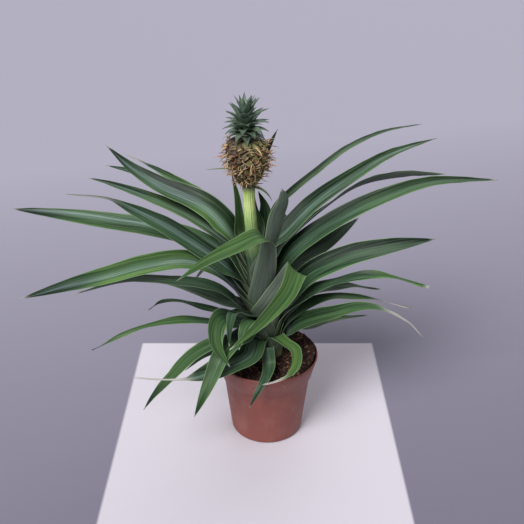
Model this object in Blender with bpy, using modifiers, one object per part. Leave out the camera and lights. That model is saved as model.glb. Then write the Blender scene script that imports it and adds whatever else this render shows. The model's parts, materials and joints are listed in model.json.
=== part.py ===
"""A pineapple plant with a young crowned fruit, growing in a small plastic nursery pot.

Every length below is in millimetres and is turned into metres by the constant MM.
The origin is the centre of the pot's flat base, +Z is up and the plant's widest spread
runs along X.
"""
import math
import random

import bmesh
import bpy
from mathutils import Matrix, Vector, noise

MM = 0.001
GAP = 0.3                      # clearance kept between pieces that touch

# Pot: a thin moulded nursery pot of 12 cm.
POT_HEIGHT = 105.0
POT_TOP_RADIUS = 61.5
POT_COLLAR_HEIGHT = 27.0
POT_COLLAR_FOOT_RADIUS = 54.5
POT_STEP = 2.0
POT_BASE_RADIUS = 44.0
POT_BASE_ROUND = 3.0
POT_WALL = 1.3
POT_LIP = 1.8
POT_HOLES = 8
POT_HOLE_SIDES = 10
POT_HOLE_RADIUS = 4.0
POT_HOLE_RING = 33.0
POT_STEPS = 40

# Soil: just under the rim, a little heaped behind and to the right.
SOIL_EDGE_HEIGHT = 98.0
SOIL_HEAP = 10.0
SOIL_STEPS = 32
SOIL_CRUMB = 2.2               # how far the crumbs rise and fall
SOIL_CRUMB_SPACING = 9.0
SOIL_CHIPS = 16
CHIP_NEAREST = 22.0            # the bark bits lie in a ring round the stem
CHIP_RING = 28.0

# Stem: it stands in the soil and leans to the left on its way up.
STEM_FOOT = 58.0
STEM_FOOT_RADIUS = 14.5
STEM_COLLAR_HEIGHT = 236.0
STEM_COLLAR_RADIUS = 10.5
STALK_RADIUS = 6.8
STALK_TOP = 321.0
STEM_STEPS = 20
STALK_BRACTS = ((345, 312, 28, -14), (100, 286, 17, 24), (215, 300, 12, 8))
LEAN_HEIGHT = 105.0            # the axis is upright below this height
LEAN_OFFSET = 5.5              # and stands this far right of the pot's centre
LEAN_TRAVEL = -26.0            # sideways travel from there to the top of the stalk
LEAN_HASTE = 1.6               # how much of that travel comes early
TOP_SLOPE = -0.05              # sideways travel for each millimetre above the stalk

# Fruit and crown.
FRUIT_FOOT = STALK_TOP + GAP
FRUIT_HEIGHT = 51.0
FRUIT_RADIUS = 21.0
FRUITLETS = 48
FRUITLET_FOOT_RADIUS = 7.0
FRUITLET_TOP_RADIUS = 2.6
FRUITLET_DEPTH = 5.6
BRACT_REACH = (6.0, 10.5)      # least and most, past the middle of its fruitlet
BRACT_DROOP = (-5.0, 4.0)
BRACT_SWAY = 3.0
BRACT_WIDTH = (4.5, 6.5)
BRACT_BLADE = 0.7
CROWN_LEAVES = 28
CROWN_HEIGHT = 48.0
CROWN_AXIS_HEIGHT = 30.0       # the solid middle of the crown
CROWN_LEAF_REACH = 22.0
CROWN_TOP_REACH = 7.5
CROWN_LEAF_WIDTH = 11.5
CROWN_TOP_WIDTH = 8.0

# Leaves.
BLADE = 0.8                    # thickness of a leaf
SHEATH_GAP = 0.8               # from the stem's skin to the inner face of a leaf at its root
SHEATH_HALF_ANGLE = math.radians(46)
SHEATH_RISES = (0.0, 11.0, 24.0)   # heights above the root at which the sheath is placed
SHEATH_SLOPE = 0.34            # how a sheath leaves the stem: straight away from it
SHEATH_CURVE = 0.0022          # and faster and faster
SHEATH_REACH = 18.0            # up to this reach a leaf is wrapped round the stem
FREE_REACH = 36.0              # from this reach on it is a free channelled strap
ACROSS = (-1.0, -0.5, 0.0, 0.5, 1.0)
THREAD_WIDTH = 2.6             # a withered end, where it starts
THREAD_TIP_WIDTH = 1.0

GOLDEN_ANGLE = math.pi * (3.0 - math.sqrt(5.0))


# ---------------------------------------------------------------- materials and bookkeeping

def material(name, colour, roughness, metallic=0.0):
    """A plain Principled material with its colour given as linear RGB."""
    made = bpy.data.materials.new(name)
    made.use_nodes = True
    shader = made.node_tree.nodes["Principled BSDF"]
    shader.inputs["Base Color"].default_value = (*colour, 1.0)
    shader.inputs["Roughness"].default_value = roughness
    shader.inputs["Metallic"].default_value = metallic
    return made


def add_object(name, mesh, collection):
    made = bpy.data.objects.new(name, mesh)
    collection.objects.link(made)
    return made


def apply_modifiers(target):
    """Replace the object's mesh with the mesh that its modifiers make."""
    bpy.context.view_layer.update()
    graph = bpy.context.evaluated_depsgraph_get()
    finished = bpy.data.meshes.new_from_object(target.evaluated_get(graph))
    target.modifiers.clear()
    target.data = finished


def fuse(target, pieces):
    """Join the pieces to the target with one Boolean union, and remove them."""
    bunch = bpy.data.collections.new(target.name + "_repeats")
    for piece in pieces:
        bunch.objects.link(piece)
    union = target.modifiers.new("Fuse", "BOOLEAN")
    union.operation = "UNION"
    union.solver = "MANIFOLD"
    union.operand_type = "COLLECTION"
    union.collection = bunch
    apply_modifiers(target)
    target.data.materials.clear()
    for piece in pieces:
        bpy.data.objects.remove(piece)
    bpy.data.collections.remove(bunch)


def drop_scraps(target):
    """Keep only the largest connected body of a fused mesh."""
    work = bmesh.new()
    work.from_mesh(target.data)
    bodies = []
    unseen = set(work.verts)
    while unseen:
        front = [unseen.pop()]
        body = set(front)
        while front:
            corner = front.pop()
            for edge in corner.link_edges:
                other = edge.other_vert(corner)
                if other in unseen:
                    unseen.discard(other)
                    body.add(other)
                    front.append(other)
        bodies.append(body)
    bodies.sort(key=len)
    for body in bodies[:-1]:
        bmesh.ops.delete(work, geom=list(body), context="VERTS")
    work.to_mesh(target.data)
    work.free()


# ---------------------------------------------------------------- the plant's axis and stem

def axis_x(height):
    """Sideways place, in mm, of the plant's leaning axis at a height."""
    climbed = (height - LEAN_HEIGHT) / (STALK_TOP - LEAN_HEIGHT)
    climbed = min(max(climbed, 0.0), 1.0)
    above = max(height - STALK_TOP, 0.0)
    return LEAN_OFFSET + LEAN_TRAVEL * (1.0 - (1.0 - climbed) ** LEAN_HASTE) + TOP_SLOPE * above


def stem_radius(height):
    """Radius of the leafy trunk, which thins evenly from the soil up."""
    share = (height - LEAN_HEIGHT) / (STEM_COLLAR_HEIGHT - LEAN_HEIGHT)
    share = min(max(share, 0.0), 1.0)
    return STEM_FOOT_RADIUS + (STEM_COLLAR_RADIUS - STEM_FOOT_RADIUS) * share


def lathe(name, profile, steps, collection):
    """Turn a profile of (radius, height) pairs, in mm, about Z."""
    mesh = bpy.data.meshes.new(name)
    corners = [(radius * MM, 0.0, height * MM) for radius, height in profile]
    mesh.from_pydata(corners, [(i, i + 1) for i in range(len(corners) - 1)], [])
    made = add_object(name, mesh, collection)
    turn = made.modifiers.new("Turn", "SCREW")
    turn.steps = steps
    turn.render_steps = steps
    turn.use_merge_vertices = True
    turn.merge_threshold = 0.00001
    apply_modifiers(made)
    return made


def lean(target):
    """Shear a shape that was turned about Z so that it follows the leaning axis."""
    for corner in target.data.vertices:
        corner.co.x += axis_x(corner.co.z / MM) * MM
    target.data.update()


# ---------------------------------------------------------------- blades

def smooth_path(points, count):
    """Points spread evenly along a smooth curve through the given ones."""
    chain = [points[0] * 2 - points[1]] + list(points) + [points[-1] * 2 - points[-2]]
    fine = []
    for a, b, c, d in zip(chain, chain[1:], chain[2:], chain[3:]):
        t1 = (b - a).length ** 0.5
        t2 = t1 + (c - b).length ** 0.5
        t3 = t2 + (d - c).length ** 0.5
        for step in range(12):
            t = t1 + (t2 - t1) * step / 12
            ab = a.lerp(b, t / t1)
            bc = b.lerp(c, (t - t1) / (t2 - t1))
            cd = c.lerp(d, (t - t2) / (t3 - t2))
            abc = ab.lerp(bc, t / t2)
            bcd = bc.lerp(cd, (t - t1) / (t3 - t1))
            fine.append(abc.lerp(bcd, (t - t1) / (t2 - t1)))
    fine.append(points[-1].copy())
    travelled = [0.0]
    for a, b in zip(fine, fine[1:]):
        travelled.append(travelled[-1] + (b - a).length)
    spaced = []
    place = 0
    for step in range(count):
        goal = travelled[-1] * step / (count - 1)
        while place < len(fine) - 2 and travelled[place + 1] < goal:
            place += 1
        span = travelled[place + 1] - travelled[place]
        spaced.append(fine[place].lerp(fine[place + 1], (goal - travelled[place]) / span))
    return spaced


def frames_along(path, side):
    """A (tangent, side, normal) triple at each point, carried along without twisting."""
    frames = []
    for i, _ in enumerate(path):
        ahead = path[min(i + 1, len(path) - 1)]
        behind = path[max(i - 1, 0)]
        tangent = (ahead - behind).normalized()
        side = (side - tangent * side.dot(tangent)).normalized()
        frames.append((tangent, side, tangent.cross(side)))
    return frames


def skin_between(rows_above, rows_below, name, collection):
    """A closed sheet from matching rows of points on its upper and its lower face.

    Both faces are split into triangles along the same diagonals, so that a waved sheet
    keeps its thickness.
    """
    work = bmesh.new()
    above = [[work.verts.new(p * MM) for p in row] for row in rows_above]
    below = [[work.verts.new(p * MM) for p in row] for row in rows_below]
    last = len(above[0]) - 1
    for i in range(len(above) - 1):
        for j in range(last):
            work.faces.new((above[i][j], above[i][j + 1], above[i + 1][j]))
            work.faces.new((above[i][j + 1], above[i + 1][j + 1], above[i + 1][j]))
            work.faces.new((below[i][j], below[i + 1][j], below[i][j + 1]))
            work.faces.new((below[i][j + 1], below[i + 1][j], below[i + 1][j + 1]))
        for j, flip in ((0, False), (last, True)):
            quad = (above[i][j], above[i + 1][j], below[i + 1][j], below[i][j])
            work.faces.new(quad[::-1] if flip else quad)
    for i, flip in ((0, True), (len(above) - 1, False)):
        for j in range(last):
            quad = (above[i][j], above[i][j + 1], below[i][j + 1], below[i][j])
            work.faces.new(quad[::-1] if flip else quad)
    bmesh.ops.triangulate(work, faces=[face for face in work.faces if len(face.verts) > 3])
    bmesh.ops.recalc_face_normals(work, faces=work.faces)
    mesh = bpy.data.meshes.new(name)
    work.to_mesh(mesh)
    work.free()
    made = add_object(name, mesh, collection)
    mesh.shade_smooth()
    mesh.set_sharp_from_angle(angle=math.radians(50))
    return made


def ease(value, low, high):
    """Smooth rise from 0 at low to 1 at high."""
    share = min(max((value - low) / (high - low), 0.0), 1.0)
    return share * share * (3.0 - 2.0 * share)


def strap_width(share, full, dry, taper):
    """Width of a strap leaf: even for most of its length, drawn out to a point.

    The last `dry` share of it is withered to a thread.
    """
    along = min(share / (1.0 - dry), 1.0)
    blade = full * (0.94 + 0.06 * ease(along, 0.0, 0.35)) * (1.0 - along ** taper)
    thread = THREAD_WIDTH + (THREAD_TIP_WIDTH - THREAD_WIDTH) * ease(share, 0.6, 1.0)
    return max(blade, thread)


def leaf(name, turn, root, points, width, collection, spread=1.0, fold=0.22, roll=0.0,
         tip_roll=None, dry=0.0, taper=2.6, wave=0.0, waves=3.0, stations=10):
    """One strap leaf.

    turn is its direction in degrees from +X, root the height at which it leaves the stem.
    points are (reach, height, sideways) triples in mm, measured from the leaning axis,
    that the midrib passes after its sheath. spread opens the sheath further, fold is the
    depth of the channel against half the width, roll turns the blade about its midrib.
    """
    heading = math.radians(turn)
    outward = Vector((math.cos(heading), math.sin(heading), 0.0))
    side = Vector((-outward.y, outward.x, 0.0))

    def place(reach, height, sideways=0.0):
        centre = Vector((axis_x(height), 0.0, height))
        return centre + outward * reach + side * sideways

    midrib = []
    for rise in SHEATH_RISES:
        flare = SHEATH_SLOPE * rise + SHEATH_CURVE * rise * rise
        midrib.append(place(stem_radius(root) + SHEATH_GAP + spread * flare, root + rise))
    midrib += [place(*point) for point in points]
    path = smooth_path(midrib, stations)
    frames = frames_along(path, side)
    final_roll = roll if tip_roll is None else tip_roll

    above = []
    below = []
    for i, (centre, (_, across, normal)) in enumerate(zip(path, frames)):
        share = i / (stations - 1)
        half = strap_width(share, width, dry, taper) / 2
        off_axis = centre - Vector((axis_x(centre.z), 0.0, centre.z))
        reach = off_axis.length
        freed = ease(reach, SHEATH_REACH, FREE_REACH)
        angle = math.radians(roll + (final_roll - roll) * share) * freed
        turned_across = across * math.cos(angle) + normal * math.sin(angle)
        turned_normal = normal * math.cos(angle) - across * math.sin(angle)
        channel = fold * half * (1.0 - 0.5 * share)
        wrap = min(half / reach, SHEATH_HALF_ANGLE)
        bearing = math.atan2(off_axis.y, off_axis.x)
        row_above = []
        row_below = []
        for u in ACROSS:
            ripple = wave * freed * abs(u) * math.sin(2 * math.pi * waves * share + 1.3 * u)
            lift = channel * u * u + ripple
            free_top = centre + turned_across * (half * u * (1.0 - 0.12 * fold)) + turned_normal * lift
            ring = Vector((math.cos(bearing + wrap * u), math.sin(bearing + wrap * u), 0.0))
            ring_top = centre - off_axis + ring * reach
            top = ring_top.lerp(free_top, freed)
            outward_here = (ring.lerp(-turned_normal, freed)).normalized()
            row_above.append(top)
            row_below.append(top + outward_here * BLADE)
        above.append(row_above)
        below.append(row_below)
    made = skin_between(above, below, name, collection)
    made.data.materials.append(material(name, (0.05, 0.13, 0.05), 0.45))
    return made


def make_leaves(collection):
    """Every leaf of the plant, listed from the top of the rosette down on each side."""
    def add(name, turn, root, points, width, **shape):
        leaf(name, turn, root, points, width, collection, **shape)

    # Left side: long arching straps.
    add("leaf_left_1", 158, 226, [(40, 277), (61, 291), (110, 305), (147, 322), (176, 344)], 32,
        fold=0.35, roll=-34)
    add("leaf_left_2", 158, 215, [(38, 252), (75, 272), (125, 287), (178, 297), (209, 300)], 23,
        fold=0.3, roll=-6, tip_roll=-22)
    add("leaf_left_3", 134, 206, [(48, 264), (85, 283.5), (126, 290), (161, 294), (238, 299)], 18,
        roll=-22, dry=0.12)
    add("leaf_left_4", 146, 197, [(42, 250), (70, 267.5), (114, 288), (161, 300.5), (216, 300)],
        25, roll=-10, tip_roll=-14)
    add("leaf_left_5", 190, 185, [(40, 231), (60, 250), (93, 279), (130, 304), (150, 316),
        (192, 324)], 26, roll=-30, tip_roll=-60, dry=0.26, taper=4.0)
    add("leaf_left_6", 171, 175, [(44, 238), (73, 253), (117, 262), (164, 266.5), (223, 271.5),
        (283, 274.5)], 28, roll=-12, tip_roll=-44, taper=3.6)
    add("leaf_left_7", 200, 160, [(44, 222), (79, 243), (129, 245), (161, 241), (210, 236),
        (257, 230)], 30, roll=-8, tip_roll=-46, taper=3.6)
    add("leaf_left_8", 208, 147, [(36, 190, 12), (50, 208, 12), (70, 220, 8), (100, 225, -6),
        (138, 227, -27), (197, 206, -64)], 27, roll=-10, stations=12)
    add("leaf_left_9", 166, 142, [(45, 170), (91, 182), (132, 188)], 22, roll=-12)
    add("leaf_left_10", 172, 136.5, [(42, 156.5), (68, 161), (100, 168), (124, 165), (142, 152)],
        10, roll=-18, wave=1.2)
    add("leaf_left_11", 192, 122.5, [(45, 150), (68, 157), (109, 163), (156, 155), (205, 136)], 12,
        roll=-24, wave=1.4, spread=1.1)

    # Right side: the same habit, and a longest leaf that reaches out almost level.
    add("leaf_right_1", 50, 228, [(42, 284, -4), (67, 297, -8), (109, 308, -10), (173, 319, -8),
        (266, 318, -4), (374, 303, -2)], 9, roll=24)
    add("leaf_right_2", 32, 219, [(42, 258, -4), (79, 285, -8), (139, 306, -5), (201, 321, -1),
        (275, 327)], 24, roll=22)
    add("leaf_right_3", 22, 206, [(45, 252, -3), (84, 280, -6), (137, 302, -1), (191, 306),
        (255, 298)], 26, roll=-8, tip_roll=-70)
    add("leaf_right_4", 5, 188, [(46, 241), (97, 277), (146, 301), (202, 318), (279, 318)], 30,
        roll=24, tip_roll=22)
    add("leaf_right_5", 25, 172, [(44, 212.5), (94, 233), (140, 257)], 26, roll=4, taper=3.2,
        tip_roll=44)
    add("leaf_right_6", -5, 143, [(42, 194), (61, 215), (106, 240), (151, 254), (203, 265)], 31,
        roll=16, taper=3.4, tip_roll=66)
    add("leaf_right_7", -10, 135, [(55, 191), (90, 210), (125, 222), (158, 222), (194, 213)], 18,
        roll=18, wave=1.8)
    add("leaf_right_8", 10, 128, [(52, 178), (98, 187), (145, 178)], 18, roll=14, wave=1.2)
    add("leaf_right_9", 2, 121, [(50, 168), (82, 180), (123, 178), (175, 163)], 18, roll=16,
        wave=1.0, dry=0.2)
    add("leaf_right_10", -16, 114, [(44, 154), (83, 173), (130, 190), (168, 178), (186, 159)], 26,
        roll=24, dry=0.22, spread=1.2)
    add("leaf_right_11", 28, 107.5, [(53, 125), (90, 125), (143, 116)], 15, roll=12, spread=1.6,
        stations=9)

    # Behind: lower leaves that hang away from the viewer's side.
    add("leaf_back_1", 78, 191, [(58, 236), (110, 238), (165, 210), (210, 160)], 24)
    add("leaf_back_2", 108, 182, [(58, 228), (105, 232), (160, 206), (205, 158)], 24)
    add("leaf_back_3", 92, 162, [(52, 194), (118, 190), (180, 135)], 22, stations=11)
    add("leaf_back_4", 58, 138.5, [(50, 176), (108, 174), (165, 138)], 20, stations=11)
    add("leaf_back_5", 128, 151, [(50, 180), (108, 175), (162, 132)], 20, stations=11)
    add("leaf_back_6", 75, 120, [(48, 138), (95, 128), (130, 92)], 17, spread=1.5, stations=9)
    add("leaf_back_7", 112, 118, [(48, 136), (92, 128), (128, 95)], 17, spread=1.5, stations=9)

    # Short upright leaves beside the stalk.
    add("leaf_inner_1", 290, 205, [(24, 262, 14.5), (31, 295, 21), (36, 314, 26), (38, 328, 24)],
        20, spread=0.8, taper=9.0)
    add("leaf_inner_2", 72, 244, [(23, 285, 7), (26, 313, 8), (36, 343, -7), (49, 371, -20)], 15,
        taper=3.2)
    add("leaf_inner_3", 135, 234, [(20, 285), (23, 318), (38, 343)], 18, stations=9)
    add("leaf_inner_4", 48, 236, [(26, 270, 1), (27, 287, 1), (21.5, 306, 6)], 22, stations=8)

    # Front: leaves that fold over and hang in front of the pot.
    add("leaf_front_1", 275, 165, [(26.5, 222, 7), (33.5, 250, 12), (43, 275, 13), (56, 286, 5),
        (74, 285, -18), (96, 280, -50), (118, 271, -81)], 28, roll=-30, spread=0.75, stations=14,
        tip_roll=-75)
    add("leaf_front_2", 285, 153, [(38, 208, 18), (53, 232, 27), (64, 245, 30), (76, 245, 24),
        (85, 234, 14), (92, 221, -3), (97, 203, -28), (102, 184, -60)], 30, roll=-25, tip_roll=-56,
        stations=14)
    add("leaf_front_3", 219, 130.8, [(34, 161.5), (50, 174, 4), (62, 180, 8), (74, 177, 14),
        (85, 163, 24), (84, 142, 40)], 29, stations=12, roll=-20, tip_roll=-70)
    add("leaf_front_4", 249, 141, [(44, 179, -5), (57, 189, -9), (66, 179, -11), (74, 156, -13)],
        20, stations=11)
    add("leaf_front_5", 256, 136, [(36, 171, 5), (52, 179, 0), (65, 175, -4), (75, 155, -10)], 17,
        stations=11)
    add("leaf_front_6", 230, 127, [(44, 149, 3), (63, 153, 6), (88, 146, 8), (103, 131, 7),
        (121, 111, 4), (134, 88, 0)], 21, roll=-16, taper=3.5)
    add("leaf_front_7", 212, 117.5, [(46, 137.5), (76, 140.5), (103, 133.5), (131, 118),
        (154, 104), (170, 88)], 24, taper=3.5)
    add("leaf_front_8", 225, 112.5, [(46, 129, 11), (72, 128, 10), (97, 125, 4), (120, 126, -2),
        (144, 130, -15), (169, 136, -34)], 30, dry=0.28, taper=4.5)
    add("leaf_front_9", 200, 107, [(50, 122), (80, 118), (108, 104)], 15, spread=1.6, stations=9)
    add("leaf_front_10", 268, 107, [(40, 115), (60, 112, -3), (72, 103, -12), (82, 84, -23)], 17,
        spread=1.5)
    add("leaf_front_11", 300, 117.6, [(36, 136, 5), (50, 134, 8), (61, 123, 0), (65, 115, -16),
        (62, 111, -32), (58, 109.5, -46)], 17, dry=0.2, spread=1.1, stations=12, taper=3.8)


# ---------------------------------------------------------------- pot and soil

def make_pot(collection, cutters):
    """Thin-walled pot: base with drainage holes, tapering body, step and collar."""
    foot_of_collar = POT_HEIGHT - POT_COLLAR_HEIGHT
    body_top = POT_COLLAR_FOOT_RADIUS - POT_STEP
    rounding = [(POT_BASE_RADIUS - POT_BASE_ROUND * (1 - math.sin(a)),
                 POT_BASE_ROUND * (1 - math.cos(a)))
                for a in (math.radians(90), math.radians(60), math.radians(30), 0.0)]
    outer = [(POT_TOP_RADIUS, POT_HEIGHT),
             (POT_TOP_RADIUS - 0.4, POT_HEIGHT - POT_LIP),
             (POT_COLLAR_FOOT_RADIUS, foot_of_collar),
             (body_top, foot_of_collar - 0.6)] + rounding
    inner = [(POT_BASE_RADIUS - POT_WALL - 1.0, POT_WALL),
             (body_top - POT_WALL, foot_of_collar),
             (POT_COLLAR_FOOT_RADIUS - POT_WALL, foot_of_collar + 2.0),
             (POT_TOP_RADIUS - POT_WALL, POT_HEIGHT)]
    profile = [(0.0, POT_WALL)] + inner + outer + [(0.0, 0.0)]
    pot = lathe("pot", profile, POT_STEPS, collection)
    for k in range(POT_HOLES):
        angle = 2 * math.pi * k / POT_HOLES
        bpy.ops.mesh.primitive_cylinder_add(
            vertices=POT_HOLE_SIDES, radius=POT_HOLE_RADIUS * MM, depth=6 * POT_WALL * MM,
            location=(POT_HOLE_RING * MM * math.cos(angle), POT_HOLE_RING * MM * math.sin(angle), 0))
        drill = bpy.context.object
        drill.name = "pot_drain_cutter"
        bpy.context.collection.objects.unlink(drill)
        cutters.objects.link(drill)
        drill.hide_render = True
        drill.display_type = "WIRE"
    holes = pot.modifiers.new("Drain holes", "BOOLEAN")
    holes.operation = "DIFFERENCE"
    holes.operand_type = "COLLECTION"
    holes.collection = cutters
    pot.data.shade_smooth()
    pot.data.set_sharp_from_angle(angle=math.radians(30))
    pot.data.materials.append(material("pot", (0.30, 0.10, 0.07), 0.45))


def soil_height(x, y):
    """Surface of the peat: crumbly, and heaped towards the back right."""
    crumbs = noise.noise(Vector((x, y, 3.0)) / SOIL_CRUMB_SPACING) * SOIL_CRUMB
    heap = SOIL_HEAP * ease(0.85 * x + 0.5 * y, -15.0, 50.0)
    return SOIL_EDGE_HEIGHT + heap + crumbs


def pot_inner_radius(height):
    """Radius inside the pot's wall at a height."""
    foot_of_collar = POT_HEIGHT - POT_COLLAR_HEIGHT
    body_top = POT_COLLAR_FOOT_RADIUS - POT_STEP
    if height > foot_of_collar:
        share = (height - foot_of_collar) / POT_COLLAR_HEIGHT
        return POT_COLLAR_FOOT_RADIUS - POT_WALL + (POT_TOP_RADIUS - POT_COLLAR_FOOT_RADIUS) * share
    share = height / foot_of_collar
    return POT_BASE_RADIUS - POT_WALL - 1.0 + (body_top - POT_BASE_RADIUS + 1.0) * share


def make_soil(collection):
    """Peat that fills the pot, with the plain hole that the stem stands in and bark bits."""
    rng = random.Random(7)
    lift = POT_WALL + GAP
    hole = STEM_FOOT_RADIUS + 2 * GAP
    slack = 2 * GAP
    foot_of_collar = POT_HEIGHT - POT_COLLAR_HEIGHT
    rim_reach = pot_inner_radius(SOIL_EDGE_HEIGHT) - slack
    top_rings = [rim_reach - (rim_reach - hole) * k / 7 for k in range(8)]
    profile = [(0.0, STEM_FOOT - 1.0), (hole, STEM_FOOT - 1.0)]
    profile += [(radius, SOIL_EDGE_HEIGHT) for radius in reversed(top_rings)]
    profile += [(pot_inner_radius(foot_of_collar) - slack - 1.2, foot_of_collar - 2.0),
                (pot_inner_radius(lift) - slack, lift), (0.0, lift)]
    soil = lathe("soil", profile, SOIL_STEPS, collection)
    for corner in soil.data.vertices:
        x = corner.co.x / MM
        y = corner.co.y / MM
        if corner.co.z / MM > SOIL_EDGE_HEIGHT - 1.0:
            edge_keep = 1.0 if math.hypot(x, y) < rim_reach - 1.0 else 0.8
            corner.co.z = (SOIL_EDGE_HEIGHT + edge_keep * (soil_height(x, y) - SOIL_EDGE_HEIGHT)) * MM
        if math.hypot(x, y) < hole + 0.5:
            corner.co.x += axis_x(corner.co.z / MM) * MM
    chips = []
    for k in range(SOIL_CHIPS):
        angle = GOLDEN_ANGLE * k
        radius = CHIP_NEAREST + CHIP_RING * math.sqrt((k + 0.5) / SOIL_CHIPS)
        x = radius * math.cos(angle)
        y = radius * math.sin(angle)
        size = Vector((rng.uniform(4, 9), rng.uniform(2.5, 5), rng.uniform(1.6, 3.0)))
        turn = Matrix.Rotation(rng.uniform(0, math.pi), 4, "Z")
        tilt = Matrix.Rotation(rng.uniform(-0.5, 0.5), 4, "X")
        spot = Matrix.Translation(Vector((x, y, soil_height(x, y) + 0.6)) * MM)
        scale = Matrix.Diagonal((*(size * MM), 1.0))
        bpy.ops.mesh.primitive_cube_add(size=1.0)
        chip = bpy.context.object
        chip.data.transform(spot @ turn @ tilt @ scale)
        bpy.context.collection.objects.unlink(chip)
        chips.append(chip)
    fuse(soil, chips)
    drop_scraps(soil)
    soil.data.materials.append(material("soil", (0.025, 0.013, 0.010), 0.95))


# ---------------------------------------------------------------- stem, fruit and crown

def free_blade(points, side, width, name, collection, stations=5, fold=0.2, across=(-1.0, 0.0, 1.0),
               thickness=BLADE, blunt=1.6):
    """A short pointed blade along a smooth curve, for bracts and crown leaves."""
    path = smooth_path(points, stations)
    frames = frames_along(path, side)
    above = []
    below = []
    for i, (centre, (_, along, normal)) in enumerate(zip(path, frames)):
        share = i / (stations - 1)
        half = max(width * (1.0 - share ** blunt), 1.0) / 2
        top = [centre + along * half * u + normal * fold * half * abs(u) for u in across]
        above.append(top)
        below.append([corner - normal * thickness for corner in top])
    return skin_between(above, below, name, collection)


def make_stem(collection):
    """Trunk and fruit stalk as one grown piece, with the small bracts on the stalk."""
    foot = [(stem_radius(height), height) for height in (STEM_COLLAR_HEIGHT, 200.0, 150.0,
                                                         LEAN_HEIGHT, STEM_FOOT + 3.0)]
    profile = [(0.0, STALK_TOP), (STALK_RADIUS, STALK_TOP),
               (STALK_RADIUS - 0.4, STALK_TOP - 14.0), (STALK_RADIUS, STEM_COLLAR_HEIGHT + 22.0)]
    profile += foot + [(STEM_FOOT_RADIUS - 2.5, STEM_FOOT), (0.0, STEM_FOOT)]
    stem = lathe("stem", profile, STEM_STEPS, collection)
    lean(stem)
    bracts = []
    for turn, height, reach, rise in STALK_BRACTS:
        heading = math.radians(turn)
        outward = Vector((math.cos(heading), math.sin(heading), 0.0))
        side = Vector((-outward.y, outward.x, 0.0))
        foot_point = Vector((axis_x(height), 0.0, height)) + outward * (STALK_RADIUS - 2.0)
        points = [foot_point, foot_point + outward * reach * 0.45 + Vector((0, 0, rise * 0.6 + 6.0)),
                  foot_point + outward * reach + Vector((0, 0, rise))]
        bracts.append(free_blade(points, side, 6.5, "bract", collection))
    for bract in bracts:
        collection.objects.unlink(bract)
    fuse(stem, bracts)
    drop_scraps(stem)
    stem.data.materials.append(material("stem", (0.45, 0.55, 0.20), 0.5))


def fruit_radius(share):
    """Radius of the fruit's core at a share of its height: a barrel, narrow at the foot."""
    foot = ease(share, -0.25, 0.45)
    shoulder = 1.0 - ease(share, 0.8, 1.25)
    return FRUIT_RADIUS * (0.42 + 0.58 * foot) * (0.45 + 0.55 * shoulder)


def make_fruit(collection):
    """Young fruit: a core covered with fruitlets, each with its dried pointed bract."""
    rng = random.Random(11)
    rings = 9
    profile = [(0.0, FRUIT_FOOT + FRUIT_HEIGHT)]
    profile += [(fruit_radius(1.0 - k / rings), FRUIT_FOOT + FRUIT_HEIGHT * (1.0 - k / rings))
                for k in range(rings + 1)]
    profile += [(0.0, FRUIT_FOOT)]
    fruit = lathe("fruit", profile, 18, collection)
    lean(fruit)
    pieces = []
    for k in range(FRUITLETS):
        share = (k + 0.7) / (FRUITLETS + 3.0)
        heading = GOLDEN_ANGLE * k
        height = FRUIT_FOOT + FRUIT_HEIGHT * share
        outward = Vector((math.cos(heading), math.sin(heading), 0.0))
        side = Vector((-outward.y, outward.x, 0.0))
        radius = fruit_radius(share)
        centre = Vector((axis_x(height), 0.0, height)) + outward * (radius - 0.8)
        bpy.ops.mesh.primitive_cone_add(
            vertices=5, radius1=FRUITLET_FOOT_RADIUS * MM, radius2=FRUITLET_TOP_RADIUS * MM,
            depth=FRUITLET_DEPTH * MM,
            location=centre * MM, rotation=outward.to_track_quat("Z", "Y").to_euler())
        eye = bpy.context.object
        bpy.context.collection.objects.unlink(eye)
        pieces.append(eye)
        reach = rng.uniform(*BRACT_REACH)
        droop = rng.uniform(*BRACT_DROOP)
        sway = side * rng.uniform(-BRACT_SWAY, BRACT_SWAY)
        root = centre - Vector((0, 0, 3.0)) - outward * 2.0
        bend = centre + outward * reach * 0.6 + Vector((0, 0, -1.0)) + sway * 0.4
        tip = centre + outward * reach + Vector((0, 0, 3.0 + droop)) + sway
        bract = free_blade([root, bend, tip], side, rng.uniform(*BRACT_WIDTH), "bract", collection,
                           stations=3, across=(-1.0, 1.0), thickness=BRACT_BLADE)
        collection.objects.unlink(bract)
        pieces.append(bract)
    fuse(fruit, pieces)
    drop_scraps(fruit)
    fruit.data.materials.append(material("fruit", (0.35, 0.20, 0.09), 0.8))


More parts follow.
